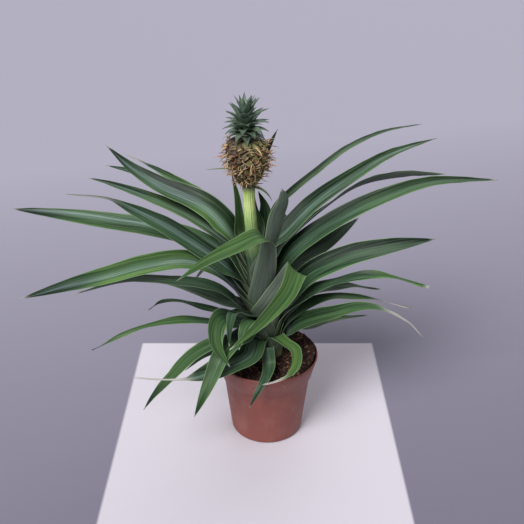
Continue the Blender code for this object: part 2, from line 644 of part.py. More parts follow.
def make_crown(collection):
    """Tuft of short pointed leaves in spirals on the fruit, low ones arching outwards."""
    rng = random.Random(5)
    foot = FRUIT_FOOT + FRUIT_HEIGHT + GAP
    profile = [(0.0, foot + CROWN_AXIS_HEIGHT), (2.5, foot + CROWN_AXIS_HEIGHT - 2.0),
               (7.0, foot + CROWN_AXIS_HEIGHT / 2), (9.0, foot), (0.0, foot)]
    crown = lathe("crown", profile, 12, collection)
    lean(crown)
    leaves = []
    for k in range(CROWN_LEAVES):
        share = k / (CROWN_LEAVES - 1)
        heading = GOLDEN_ANGLE * k + rng.uniform(-0.1, 0.1)
        outward = Vector((math.cos(heading), math.sin(heading), 0.0))
        side = Vector((-outward.y, outward.x, 0.0))
        height = foot + 2.5 + 24.0 * share
        root = Vector((axis_x(height), 0.0, height)) + outward * (5.0 - 3.5 * share)
        upper = ease(share, 0.45, 1.0)
        reach = CROWN_LEAF_REACH + (CROWN_TOP_REACH - CROWN_LEAF_REACH) * upper
        width = CROWN_LEAF_WIDTH + (CROWN_TOP_WIDTH - CROWN_LEAF_WIDTH) * share
        rise = -2.0 + (CROWN_HEIGHT - 24.5) * share ** 0.8
        bend = root + outward * reach * 0.6 + Vector((0, 0, rise * 0.5 + 3.5))
        tip = root + outward * reach + Vector((0, 0, rise))
        blade = free_blade([root, bend, tip], side, width, "crown_leaf", collection, stations=3)
        collection.objects.unlink(blade)
        leaves.append(blade)
    fuse(crown, leaves)
    drop_scraps(crown)
    crown.data.materials.append(material("crown", (0.07, 0.16, 0.10), 0.5))


def main():
    for leftover in list(bpy.data.objects):
        bpy.data.objects.remove(leftover)
    parts = bpy.data.collections.new("potted_pineapple")
    cutters = bpy.data.collections.new("cutters")
    bpy.context.scene.collection.children.link(parts)
    bpy.context.scene.collection.children.link(cutters)
    make_pot(parts, cutters)
    make_soil(parts)
    make_stem(parts)
    make_fruit(parts)
    make_crown(parts)
    make_leaves(parts)


main()
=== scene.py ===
"""Looks of a potted pineapple plant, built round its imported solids.

Lengths are in millimetres and turned into metres by the constant MM. Angles that are
written out are in degrees. Each leaf grows along the course of its own solid, as a finer
and thinner blade.
"""
import json
import math
import random
from functools import partial

import bpy
import numpy as np
from mathutils import Matrix, Vector, noise

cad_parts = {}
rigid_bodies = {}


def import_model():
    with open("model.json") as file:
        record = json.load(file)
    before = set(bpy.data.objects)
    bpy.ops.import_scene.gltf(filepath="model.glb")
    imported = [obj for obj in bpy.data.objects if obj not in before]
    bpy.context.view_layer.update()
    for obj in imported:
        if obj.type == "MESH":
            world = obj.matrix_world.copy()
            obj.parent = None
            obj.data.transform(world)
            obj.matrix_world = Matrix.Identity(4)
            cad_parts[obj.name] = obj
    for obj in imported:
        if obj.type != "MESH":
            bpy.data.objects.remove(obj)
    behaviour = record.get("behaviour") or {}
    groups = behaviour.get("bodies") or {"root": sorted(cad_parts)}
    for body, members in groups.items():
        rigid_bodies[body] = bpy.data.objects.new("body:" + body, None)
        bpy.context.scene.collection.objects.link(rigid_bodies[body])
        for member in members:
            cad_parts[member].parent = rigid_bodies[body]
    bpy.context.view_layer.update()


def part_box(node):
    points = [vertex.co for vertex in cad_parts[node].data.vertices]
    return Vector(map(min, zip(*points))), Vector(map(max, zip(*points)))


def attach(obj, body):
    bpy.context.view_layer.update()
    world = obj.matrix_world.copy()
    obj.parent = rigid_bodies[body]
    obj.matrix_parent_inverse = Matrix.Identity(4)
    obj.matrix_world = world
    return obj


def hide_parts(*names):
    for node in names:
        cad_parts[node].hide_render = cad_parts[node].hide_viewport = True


MM = 0.001
GOLDEN_ANGLE = math.pi * (3.0 - math.sqrt(5.0))

# The plant's leaning axis, its trunk, stalk and fruit, as the solids have them.
LEAN_HEIGHT = 105.0
LEAN_OFFSET = 5.5
LEAN_TRAVEL = -26.0
LEAN_HASTE = 1.6
STALK_TOP = 321.0
TOP_SLOPE = -0.05
STEM_FOOT_RADIUS = 14.5
STEM_COLLAR_HEIGHT = 236.0
STEM_COLLAR_RADIUS = 10.5
STALK_RADIUS = 6.8
STEM_FOOT_HEIGHT = 58.0        # inside the peat
GAP = 0.3                      # clearance between the stalk, the fruit and the crown
FRUIT_HEIGHT = 51.0
FRUIT_RADIUS = 21.0

# Strap leaves.
BLADE = 0.8                    # thickness along the midrib
MARGIN_BLADE = 0.28            # thickness at the margins
SHEATH_GAP = 0.8               # between the sheath and the trunk
SHEATH_HALF_ANGLE = math.radians(46)
SHEATH_RISES = (0.0, 11.0, 24.0)
SHEATH_SLOPE = 0.34
SHEATH_CURVE = 0.0022
SHEATH_BROADER = 0.35          # by this share near the root
SHEATH_REACH = 18.0            # a blade clasps the trunk up to here
FREE_REACH = 36.0              # and is free of it from here
THREAD_WIDTH = 4.4             # of a withered end, where it starts
THREAD_TIP_WIDTH = 1.5
WAVES = 3.0                    # along a leaf with rippled margins
CRINKLE_LENGTH = 16.0
STATIONS = 84                  # rows of points along a leaf
ACROSS = 17                    # and points across it
LEAF_MARKS = ("across", "mm_across", "mm_along", "seed", "under", "dry", "lime", "wax_and_sheen", "shade",
              "sheath")

# Pot and peat.
POT_WALL = 1.3
POT_COLLAR = 27.0              # height of the collar under the lip
POT_SHOULDER_RADIUS = 52.5     # just under the collar
POT_FOOT_RADIUS = 44.0
POT_FOOT_ROUNDING = 3.0
HOLE_COUNT = 8
HOLE_RADIUS = 4.0
HOLE_RING = 33.0
PEAT_LEVEL = 98.0
PEAT_EDGE = 57.9

# Camera, in metres, degrees and millimetres of lens.
CAMERA_PLACE = (-0.006, -0.76, 0.618)
CAMERA_DOWN = 27.2
CAMERA_LENS = 51.53
CAMERA_SENSOR = 36.0


# ---------------------------------------------------------------- small tools

def linear(code):
    """An sRGB hex colour as linear RGBA."""
    shares = [int(code[k:k + 2], 16) / 255 for k in (1, 3, 5)]
    return (*[c / 12.92 if c <= 0.04045 else ((c + 0.055) / 1.055) ** 2.4 for c in shares], 1.0)


def fill(node, *values, **words):
    """Give a node's sockets numbers, hex colours, nodes or other sockets.

    Values go to its first sockets in turn, and a word to the socket of that name, with _
    for a space.
    """
    pairs = list(zip(node.inputs, values))
    for word, value in words.items():
        name = word.replace("_", " ")
        pairs.append((next(s for s in node.inputs if s.name == name and s.enabled), value))
    for socket, value in pairs:
        if isinstance(value, bpy.types.Node):
            value = next(s for s in value.outputs if s.enabled)
        if isinstance(value, bpy.types.NodeSocket):
            node.id_data.links.new(value, socket)
        else:
            is_colour = isinstance(value, str) and value.startswith("#")
            socket.default_value = linear(value) if is_colour else value


def add_node(tree, kind, *values, **words):
    """Add a node. A word in small letters is a setting; the rest fills its sockets."""
    made = tree.nodes.new(kind if "Node" in kind else "ShaderNode" + kind)
    for word in [word for word in words if word[0].islower()]:
        setattr(made, word, words.pop(word))
    fill(made, *values, **words)
    return made


def new_material(name):
    """An empty material, what adds nodes to it, and its shader."""
    made = bpy.data.materials.new(name)
    made.use_nodes = True
    return made, partial(add_node, made.node_tree), made.node_tree.nodes["Principled BSDF"]


def new_tree(name, sockets):
    """An empty Geometry Nodes tree, what adds nodes to it, and its named inputs."""
    tree = bpy.data.node_groups.new(name, "GeometryNodeTree")
    for label, kind in sockets:
        tree.interface.new_socket(label, in_out="INPUT", socket_type="NodeSocket" + kind)
    tree.interface.new_socket("Mesh", in_out="OUTPUT", socket_type="NodeSocketGeometry")
    add = partial(add_node, tree)
    return tree, add, add("NodeGroupInput").outputs


def random_tilts(add, given, most, count):
    """Random angles of up to an input's value either way, each with a seed of its own."""
    less = add("Math", given[most], -1.0, operation="MULTIPLY")
    tilts = []
    for offset in range(count):
        seed = add("Math", given["Seed"], float(offset), operation="ADD")
        tilts.append(add("FunctionNodeRandomValue", Min=less, Max=given[most], Seed=seed,
                         data_type="FLOAT"))
    return tilts


def repeat_shapes(add, given, shapes, points, pick, rotation, size):
    """End a tree: shapes from a collection on the points, made real and given their finish."""
    shapes = add("GeometryNodeCollectionInfo", Collection=given[shapes], Separate_Children=True,
                 Reset_Children=True)
    placed = add("GeometryNodeInstanceOnPoints", Points=points, Instance=shapes,
                 Pick_Instance=True, Instance_Index=pick, Rotation=rotation, Scale=size)
    real = add("GeometryNodeRealizeInstances", Geometry=placed)
    dressed = add("GeometryNodeSetMaterial", Geometry=real, Material=given["Finish"])
    add("NodeGroupOutput", Mesh=dressed)


def ease(value, low, high):
    """Smooth rise from 0 at low to 1 at high."""
    share = min(max((value - low) / (high - low), 0.0), 1.0)
    return share * share * (3.0 - 2.0 * share)


def bump_between(value, low, high, soft):
    """1 between low and high, easing to 0 over a soft width outside."""
    return ease(value, low - soft, low) * (1.0 - ease(value, high, high + soft))


def settle(made):
    """Make what the modifiers give the object's own plain mesh."""
    bpy.context.view_layer.update()
    graph = bpy.context.evaluated_depsgraph_get()
    mesh = bpy.data.meshes.new_from_object(made.evaluated_get(graph))
    made.modifiers.clear()
    made.data = mesh
    return made


def new_object(name, mesh):
    """An object in the scene with this mesh."""
    made = bpy.data.objects.new(name, mesh)
    bpy.context.scene.collection.objects.link(made)
    return made


def finish_piece(made, slot, *nodes, materials=()):
    """Give a piece its materials and its body, and hide the solids it stands for; its slot is not
    used.
    """
    if materials:
        made.data.materials.clear()
        for entry in materials:
            made.data.materials.append(entry)
    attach(made, "root")
    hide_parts(*nodes)


def skin(name, above, below, marks, sharp=50.0):
    """A closed sheet from two grids of points, with a float attribute for each mark.

    above and below are rows of points in mm; marks maps a name to a pair of grids, for
    the upper and the lower face.
    """
    rows = len(above)
    columns = len(above[0])
    corners = [tuple(p * MM) for grid in (above, below) for row in grid for p in row]
    under = rows * columns

    def at(i, j, lower=0):
        return lower * under + i * columns + j

    faces = []
    for i in range(rows - 1):
        for j in range(columns - 1):
            faces.append((at(i, j), at(i + 1, j), at(i + 1, j + 1), at(i, j + 1)))
            faces.append((at(i, j, 1), at(i, j + 1, 1), at(i + 1, j + 1, 1), at(i + 1, j, 1)))
        last = columns - 1
        faces.append((at(i, 0), at(i, 0, 1), at(i + 1, 0, 1), at(i + 1, 0)))
        faces.append((at(i, last), at(i + 1, last), at(i + 1, last, 1), at(i, last, 1)))
    for j in range(columns - 1):
        last = rows - 1
        faces.append((at(0, j), at(0, j + 1), at(0, j + 1, 1), at(0, j, 1)))
        faces.append((at(last, j), at(last, j, 1), at(last, j + 1, 1), at(last, j + 1)))
    mesh = bpy.data.meshes.new(name)
    mesh.from_pydata(corners, [], faces)
    for mark, grids in marks.items():
        values = np.array([v for grid in grids for row in grid for v in row], np.float32)
        mesh.attributes.new(mark, "FLOAT", "POINT").data.foreach_set("value", values)
    mesh.shade_smooth()
    mesh.set_sharp_from_angle(angle=math.radians(sharp))
    return mesh


def lathe(name, profile, steps):
    """Turn a profile of (radius, height) pairs in mm, outer side from top to bottom."""
    mesh = bpy.data.meshes.new(name)
    corners = [(radius * MM, 0.0, height * MM) for radius, height in profile]
    mesh.from_pydata(corners, [(i, i + 1) for i in range(len(corners) - 1)], [])
    made = new_object(name, mesh)
    turn = made.modifiers.new("Turn", "SCREW")
    turn.steps = steps
    turn.render_steps = steps
    turn.use_merge_vertices = True
    turn.merge_threshold = 0.00001
    return settle(made)


# ---------------------------------------------------------------- the course of the plant

def axis_x(height):
    """Sideways place of the plant's leaning axis at a height."""
    climbed = (height - LEAN_HEIGHT) / (STALK_TOP - LEAN_HEIGHT)
    climbed = min(max(climbed, 0.0), 1.0)
    above = max(height - STALK_TOP, 0.0)
    return LEAN_OFFSET + LEAN_TRAVEL * (1.0 - (1.0 - climbed) ** LEAN_HASTE) + TOP_SLOPE * above


def stem_radius(height):
    """Radius of the leafy trunk, which thins evenly from the soil up."""
    share = (height - LEAN_HEIGHT) / (STEM_COLLAR_HEIGHT - LEAN_HEIGHT)
    share = min(max(share, 0.0), 1.0)
    return STEM_FOOT_RADIUS + (STEM_COLLAR_RADIUS - STEM_FOOT_RADIUS) * share


def smooth_path(points, count):
    """Points spread evenly along a smooth curve through the given ones."""
    chain = [points[0] * 2 - points[1]] + list(points) + [points[-1] * 2 - points[-2]]
    fine = []
    for a, b, c, d in zip(chain, chain[1:], chain[2:], chain[3:]):
        t1 = (b - a).length ** 0.5
        t2 = t1 + (c - b).length ** 0.5
        t3 = t2 + (d - c).length ** 0.5
        for step in range(24):
            t = t1 + (t2 - t1) * step / 24
            ab = a.lerp(b, t / t1)
            bc = b.lerp(c, (t - t1) / (t2 - t1))
            cd = c.lerp(d, (t - t2) / (t3 - t2))
            abc = ab.lerp(bc, t / t2)
            bcd = bc.lerp(cd, (t - t1) / (t3 - t1))
            fine.append(abc.lerp(bcd, (t - t1) / (t2 - t1)))
    fine.append(points[-1].copy())
    travelled = [0.0]
    for a, b in zip(fine, fine[1:]):
        travelled.append(travelled[-1] + (b - a).length)
    spaced = []
    place = 0
    for step in range(count):
        goal = travelled[-1] * step / (count - 1)
        while place < len(fine) - 2 and travelled[place + 1] < goal:
            place += 1
        span = travelled[place + 1] - travelled[place]
        spaced.append(fine[place].lerp(fine[place + 1], (goal - travelled[place]) / span))
    return spaced, travelled[-1]


def strap_width(share, full, dry, taper):
    """Width of a strap leaf: even for most of its length, drawn out to a point."""
    along = min(share / (1.0 - dry), 1.0)
    blade = full * (0.94 + 0.06 * ease(along, 0.0, 0.35)) * (1.0 - along ** taper)
    thread = THREAD_WIDTH + (THREAD_TIP_WIDTH - THREAD_WIDTH) * ease(share, 0.6, 1.0)
    return max(blade, thread * (1.0 - 0.7 * ease(share, 0.96, 1.0)))


# ---------------------------------------------------------------- materials

def leaf_material():
    """Living pineapple leaf: a thick, closely ribbed strap under a coat of wax.

    That coat gives a soft satin shine, the ribs run the whole length about a millimetre
    apart, the margins are thin and pale, the underside is grey with fine scurf, and the
    ends wither to straw. Silvery stripes in the channel are partly the leaf's own bloom
    and partly painted sheen, and painted shade darkens the half away from the -Y side,
    with the end darker as well.
    """
    made, add, shader = new_material("waxy_strap_leaf")
    mark = {name: add("Attribute", attribute_name=name).outputs["Fac"] for name in LEAF_MARKS}
    place = add("CombineXYZ", X=mark["mm_across"], Y=mark["mm_along"], Z=mark["seed"])
    # Ribs about 1 mm apart, streaks 2 to 3 mm wide and bands of colour 6 mm wide, all drawn
    # out along the leaf.
    rib_place = add("VectorMath", place, (1.0, 0.016, 17.0), operation="MULTIPLY")
    ribs = add("TexNoise", Vector=rib_place, Scale=1.0, Detail=2.0, Roughness=0.55)
    streak_place = add("VectorMath", place, (0.42, 0.0085, 13.0), operation="MULTIPLY")
    streaks = add("TexNoise", Vector=streak_place, Scale=1.0, Detail=3.0, Roughness=0.62)
    band_place = add("VectorMath", place, (0.16, 0.0065, 9.0), operation="MULTIPLY")
    bands = add("TexNoise", Vector=band_place, Scale=1.0, Detail=3.0, Roughness=0.6)
    blotch_place = add("VectorMath", place, (0.07, 0.03, 5.0), operation="MULTIPLY")
    blotches = add("TexNoise", Vector=blotch_place, Scale=1.0, Detail=3.0)
    band_share = add("MapRange", Value=bands, From_Min=0.4, From_Max=0.62)
    streak_share = add("MapRange", Value=streaks, From_Min=0.44, From_Max=0.6)
    rib_share = add("MapRange", Value=ribs, From_Min=0.4, From_Max=0.62)
    from_middle = add("Math", mark["across"], operation="ABSOLUTE")

    def coat(beneath, colour, pattern, least, most, mark=None):
        """Lay a colour over what is beneath, as densely as the pattern and the mark say."""
        share = add("MapRange", Value=pattern, To_Min=least, To_Max=most)
        if mark:
            share = add("Math", mark, share, operation="MULTIPLY", use_clamp=True)
        return add("Mix", Factor=share, A=beneath, B=colour, data_type="RGBA")

    upper = add("Mix", Factor=band_share, A="#0F1F16", B="#28472E", data_type="RGBA")
    upper = coat(upper, "#4A6C4A", streak_share, 0.0, 0.55)
    upper = coat(upper, "#6F8C6C", rib_share, 0.0, 0.3)
    lime = coat("#3F6A36", "#7CA24E", streak_share, 0.25, 0.8)
    upper = coat(upper, lime, rib_share, 0.7, 0.95, mark["lime"])
    # Painted shade: the half away from the -Y side goes near black-green, and the end darker too.
    upper = coat(upper, "#0D1A13", streak_share, 1.0, 0.62, mark["shade"])
    # Silvery stripes along the channel: partly the leaf's own bloom, partly painted sheen.
    upper = coat(upper, "#93ABA4", streak_share, 0.35, 1.0, mark["wax_and_sheen"])
    lower = add("Mix", Factor=blotches, A="#435446", B="#667465", data_type="RGBA")
    lower = coat(lower, "#7F8C7C", streak_share, 0.0, 0.35)
    lower = coat(lower, "#929C8C", rib_share, 0.0, 0.25)
    colour = add("Mix", Factor=mark["under"], A=upper, B=lower, data_type="RGBA")
    colour = add("Mix", Factor=mark["sheath"], A=colour, B="#77866A", data_type="RGBA")
    # The pale rim is a little over half a millimetre wide.
    rim_share = add("MapRange", Value=band_share, To_Min=0.25, To_Max=0.75)
    rim = add("MapRange", Value=from_middle, From_Min=0.92, From_Max=0.98, To_Max=rim_share,
              interpolation_type="SMOOTHSTEP")
    colour = add("Mix", Factor=rim, A=colour, B="#A3BD95", data_type="RGBA")
    straw = add("Mix", Factor=rib_share, A="#8C867A", B="#D6D5CD", data_type="RGBA")
    colour = add("Mix", Factor=mark["dry"], A=colour, B=straw, data_type="RGBA")
    dull = add("Math", mark["under"], mark["dry"], operation="MAXIMUM")
    rough = add("MapRange", Value=dull, To_Min=0.34, To_Max=0.66)
    rough = add("Math", blotches, 0.16, rough, operation="MULTIPLY_ADD")
    relief = add("Bump", Height=ribs, Strength=0.5, Distance=0.0006)
    fill(shader, Base_Color=colour, Roughness=rough, Normal=relief, IOR=1.45,
         Specular_IOR_Level=0.2)
    return made


def blade_material(name, root, middle, tip, underside, roughness, speckle=0.3):
    """A small dry or dusty blade, with its colour changing from root to tip."""
    made, add, shader = new_material(name)
    along = add("Attribute", attribute_name="along").outputs["Fac"]
    under = add("Attribute", attribute_name="under").outputs["Fac"]
    spot = add("TexCoord").outputs["Object"]
    # Flecks about 2 mm across.
    flecks = add("TexNoise", Vector=spot, Scale=420.0, Detail=3.0, Roughness=0.65)
    shifted = add("Math", flecks, speckle, -speckle / 2, operation="MULTIPLY_ADD")
    shifted = add("Math", along, shifted, operation="ADD")
    ramp = add("ValToRGB", Fac=shifted)
    ramp.color_ramp.elements[0].color = linear(root)
    ramp.color_ramp.elements[1].color = linear(tip)
    ramp.color_ramp.elements.new(0.5).color = linear(middle)
    colour = add("Mix", Factor=under, A=ramp.outputs["Color"], B=underside, data_type="RGBA")
    darker = add("MapRange", Value=flecks, From_Min=0.3, From_Max=0.7, To_Min=0.7, To_Max=1.15)
    colour = add("VectorMath", colour, Scale=darker, operation="SCALE")
    relief = add("Bump", Height=flecks, Strength=0.4, Distance=0.0004)
    fill(shader, Base_Color=colour, Roughness=roughness, Normal=relief)
    return made


def fruit_material():
    """Rind of a young pineapple: olive fruitlets, purple-brown in the grooves."""
    made, add, shader = new_material("young_pineapple_rind")
    height = add("Attribute", attribute_name="swell").outputs["Fac"]
    spot = add("TexCoord").outputs["Object"]
    flecks = add("TexNoise", Vector=spot, Scale=520.0, Detail=4.0, Roughness=0.7)
    patches = add("TexNoise", Vector=spot, Scale=60.0, Detail=2.0)
    # The right-hand side is olive, the left-hand side purple-brown, in patches.
    sideways = add("SeparateXYZ", Vector=spot)
    purple_left = add("MapRange", Value=sideways.outputs["X"], From_Min=-0.004, From_Max=-0.036)
    purple_left = add("Math", patches, 0.9, purple_left, operation="MULTIPLY_ADD")
    purple_left = add("Math", purple_left, 0.54, operation="SUBTRACT", use_clamp=True)
    ripe = add("Mix", Factor=purple_left, A="#949458", B="#54403A", data_type="RGBA")
    colour = add("Mix", Factor=height, A="#1E1310", B=ripe, data_type="RGBA")
    pale = add("MapRange", Value=flecks, From_Min=0.56, From_Max=0.72)
    pale = add("Math", pale, 0.6, operation="MULTIPLY")
    colour = add("Mix", Factor=pale, A=colour, B="#B89A66", data_type="RGBA")
    relief = add("Bump", Height=flecks, Strength=0.6, Distance=0.0008)
    fill(shader, Base_Color=colour, Roughness=0.7, Normal=relief)
    return made


def stem_material():
    """Fresh pineapple stalk: smooth and waxy, yellow-green, with olive streaks lower down."""
    made, add, shader = new_material("waxy_green_stalk")
    height = add("Attribute", attribute_name="height").outputs["Fac"]
    round_way = add("Attribute", attribute_name="round_way").outputs["Fac"]
    place = add("CombineXYZ", X=round_way, Y=height)
    # Fibres about 1 mm wide and 25 mm long.
    fibre_place = add("VectorMath", place, (1.0, 0.04, 1.0), operation="MULTIPLY")
    fibres = add("TexNoise", Vector=fibre_place, Scale=1.0, Detail=3.0)
    share = add("MapRange", Value=height, From_Min=95.0, From_Max=STALK_TOP)
    ramp = add("ValToRGB", Fac=share)
    # Colours up the stalk from the peat to the fruit. The pale yellow band just under the fruit is
    # a painted highlight, and the yellow-green near the trunk's foot is partly its own colour and
    # partly a painted highlight.
    for place_on_stem, code in ((0.0, "#4C3A22"), (0.04, "#7E8A3E"), (0.12, "#9BA85A"),
                                (0.22, "#5F6D5C"), (0.62, "#4A6048"), (0.76, "#8FAE66"),
                                (0.84, "#B4D284"), (0.90, "#E2F6A0"), (0.965, "#CDE884")):
        ramp.color_ramp.elements.new(place_on_stem).color = linear(code)
    ramp.color_ramp.elements.remove(ramp.color_ramp.elements[0])
    ramp.color_ramp.elements[-1].color = linear("#5C6650")
    streak = add("MapRange", Value=fibres, From_Min=0.35, From_Max=0.65, To_Min=0.72, To_Max=1.12)
    colour = add("VectorMath", ramp.outputs["Color"], Scale=streak, operation="SCALE")
    relief = add("Bump", Height=fibres, Strength=0.4, Distance=0.0005)
    fill(shader, Base_Color=colour, Roughness=0.42, Normal=relief)
    return made


def pot_material():
    """Moulded polypropylene nursery pot, pigmented terracotta: matt, faintly mottled, and
    smeared with dried peat below the rim."""
    made, add, shader = new_material("terracotta_polypropylene")
    spot = add("TexCoord").outputs["Object"]
    # Flow marks of the mould, 12 mm wide and drawn out downwards.
    flow_place = add("Mapping", Vector=spot, Scale=(80, 80, 14))
    flow = add("TexNoise", Vector=flow_place, Scale=1.0, Detail=4.0, Roughness=0.6)
    grain = add("TexNoise", Vector=spot, Scale=1400.0, Detail=2.0)
    colour = add("Mix", Factor=flow, A="#7F453C", B="#945248", data_type="RGBA")
    dirt_place = add("Mapping", Vector=spot, Scale=(1, 1, 0.45))
    dirt = add("TexNoise", Vector=dirt_place, Scale=190.0, Detail=5.0, Roughness=0.72)
    height = add("SeparateXYZ", Vector=spot)
    near_rim = add("MapRange", Value=height.outputs["Z"], From_Min=0.055, From_Max=0.108,
                   To_Min=0.7, To_Max=0.575)
    caught = add("Math", dirt, near_rim, operation="SUBTRACT")
    caught = add("MapRange", Value=caught, From_Min=0.0, From_Max=0.06, To_Max=0.85)
    colour = add("Mix", Factor=caught, A=colour, B="#3E241D", data_type="RGBA")
    dust = add("TexNoise", Vector=spot, Scale=45.0, Detail=4.0)
    dust = add("MapRange", Value=dust, From_Min=0.5, From_Max=0.8, To_Max=0.22)
    colour = add("Mix", Factor=dust, A=colour, B="#A98A7E", data_type="RGBA")
    rough = add("MapRange", Value=flow, To_Min=0.48, To_Max=0.62)
    relief = add("Bump", Height=grain, Strength=0.15, Distance=0.0002)
    fill(shader, Base_Color=colour, Roughness=rough, Normal=relief, IOR=1.49)
    return made


def peat_material():
    """Moist peat: almost black, reddish where it catches the light, with no shine."""
    made, add, shader = new_material("moist_peat")
    spot = add("TexCoord").outputs["Object"]
    crumbs = add("TexNoise", Vector=spot, Scale=520.0, Detail=6.0, Roughness=0.75)
    # Colour follows the crumbs of the relief: near black in the hollows and reddish brown on the
    # raised crumbs, partly the peat's own colours and partly painted shade and a painted highlight.
    colour = add("ValToRGB", Fac=crumbs)
    colour.color_ramp.elements[0].position = 0.36
    colour.color_ramp.elements[0].color = linear("#0C0706")
    colour.color_ramp.elements[1].position = 0.72
    colour.color_ramp.elements[1].color = linear("#3E261C")
    relief = add("Bump", Height=crumbs, Strength=1.0, Distance=0.002)
    fill(shader, Base_Color=colour, Roughness=0.95, Normal=relief)
    return made


def bits_material(name, dark, pale):
    """Bark and fibre in the peat: each bit has its own shade of brown."""
    made, add, shader = new_material(name)
    spot = add("TexCoord").outputs["Object"]
    shade = add("Attribute", attribute_name="shade").outputs["Fac"]
    grain = add("TexNoise", Vector=spot, Scale=700.0, Detail=3.0)
    both = add("Math", grain, 0.5, -0.25, operation="MULTIPLY_ADD")
    both = add("Math", shade, both, operation="ADD", use_clamp=True)
    colour = add("Mix", Factor=both, A=dark, B=pale, data_type="RGBA")
    fill(shader, Base_Color=colour, Roughness=0.85)
    return made


# ---------------------------------------------------------------- strap leaves

def strap_leaf(name, turn, root, points, width, seed, spread=1.0, fold=0.22, roll=0.0,
               tip_roll=None, dry=0.0, taper=2.6, wave=0.0, lime=(0.0, 0.0, 0.0),
               wax_and_sheen=(0.0, 0.0), rim=0.35, old=0.0, shade=0.35, tip_shade=0.7, bleach=1.0):
    """One strap leaf, from its sheath on the trunk along the given points of its midrib.

    spread is how far the sheath stands off, fold how deep the channel is, roll and
    tip_roll how the blade turns about its midrib, dry the withered share of its length,
    taper how late it narrows and wave how far its margins ripple. lime is a stretch of
    the leaf and how yellow-green it is there, wax how silvery its channel is and where
    across, partly its own bloom and partly painted sheen, rim how green the margins are,
    old how grey the leaf is, shade how much painted shade darkens the half away from the
    -Y side, tip_shade how much darker its end is, and bleach how pale a dry end is.
    """
    heading = math.radians(turn)
    outward = Vector((math.cos(heading), math.sin(heading), 0.0))
    side = Vector((-outward.y, outward.x, 0.0))

    def place(reach, height, sideways=0.0):
        centre = Vector((axis_x(height), 0.0, height))
        return centre + outward * reach + side * sideways

    midrib = []
    for rise in SHEATH_RISES:
        flare = SHEATH_SLOPE * rise + SHEATH_CURVE * rise * rise
        midrib.append(place(stem_radius(root) + SHEATH_GAP + spread * flare, root + rise))
    midrib += [place(*point) for point in points]
    path, length = smooth_path(midrib, STATIONS)
    final_roll = roll if tip_roll is None else tip_roll
    front = -1.0 if side.y > 0 else 1.0       # the margin that lies on the -Y side

    above = []
    below = []
    marks = {key: ([], []) for key in LEAF_MARKS}
    for i, centre in enumerate(path):
        share = i / (STATIONS - 1)
        ahead = path[min(i + 1, STATIONS - 1)]
        behind = path[max(i - 1, 0)]
        tangent = (ahead - behind).normalized()
        side = (side - tangent * side.dot(tangent)).normalized()
        normal = tangent.cross(side)
        half = strap_width(share, width, dry, taper) / 2
        off_axis = centre - Vector((axis_x(centre.z), 0.0, centre.z))
        reach = off_axis.length
        freed = ease(reach, SHEATH_REACH, FREE_REACH)
        angle = math.radians(roll + (final_roll - roll) * share) * freed
        turned_across = side * math.cos(angle) + normal * math.sin(angle)
        turned_normal = normal * math.cos(angle) - side * math.sin(angle)
        channel = fold * half * (1.0 - 0.5 * share)
        broader = 1.0 + SHEATH_BROADER * (1.0 - ease(share * length, 12.0, 60.0))
        wrap = min(half * broader / reach, SHEATH_HALF_ANGLE * broader)
        bearing = math.atan2(off_axis.y, off_axis.x)
        withered = ease(share, 1.0 - dry - 0.10, 1.0 - dry + 0.04) if dry else 0.0
        withered = max(withered, 0.85 * ease(share, 0.965, 0.995))
        limed = lime[2] * bump_between(share, lime[0], lime[1], 0.14)
        # A silvery stripe, partly the leaf's own bloom and partly painted sheen.
        bloom_and_sheen = wax_and_sheen[0] * bump_between(share, 0.25, 0.82, 0.2)
        row_above = []
        row_below = []
        row_marks = []
        for k in range(ACROSS):
            u = 2.0 * k / (ACROSS - 1) - 1.0
            edge = abs(u) ** 3
            ripple = wave * abs(u) * math.sin(2 * math.pi * WAVES * share + 1.3 * u)
            crinkle = noise.noise(Vector((share * length / CRINKLE_LENGTH,
                                          u * 0.8 + seed * 3.7, 2.0)))
            lift = channel * u * u + freed * (ripple + 0.7 * edge * crinkle)
            reached = half * u * (1.0 - 0.12 * fold)
            free_top = centre + turned_across * reached + turned_normal * lift
            ring = Vector((math.cos(bearing + wrap * u), math.sin(bearing + wrap * u), 0.0))
            top = (centre - off_axis + ring * reach).lerp(free_top, freed)
            outward_here = ring.lerp(-turned_normal, freed).normalized()
            thick = MARGIN_BLADE + (BLADE - MARGIN_BLADE) * (1.0 - edge)
            row_above.append(top)
            row_below.append(top + outward_here * thick)
            margin = rim * ease(abs(u), 0.55, 1.0) * (1.0 if u * front > 0 else 0.3)
            margin *= 0.3 + 0.7 * ease(share, 0.15, 0.5)
            # Painted shade on the half away from the -Y side; the end is darker as well.
            painted_far_shade = shade * ease(-u * front, -0.05, 0.45)
            crest = math.exp(-((u - wax_and_sheen[1] * front) / 0.28) ** 2)
            row_marks.append({
                "across": u, "mm_across": u * half + 40.0 * seed, "mm_along": share * length,
                "seed": seed, "under": old, "dry": withered * bleach,
                "lime": limed * (0.75 + 0.25 * abs(u)) + margin, "wax_and_sheen": bloom_and_sheen * crest,
                "shade": max(painted_far_shade, tip_shade * ease(share, 0.7, 0.97)),
                "sheath": 0.8 * (1.0 - ease(share * length, 6.0, 34.0))})
        above.append(row_above)
        below.append(row_below)
        for key, (upper, lower) in marks.items():
            upper.append([entry[key] for entry in row_marks])
            lower.append([1.0 if key == "under" else entry[key] for entry in row_marks])
    return new_object(name, skin(name, above, below, marks))


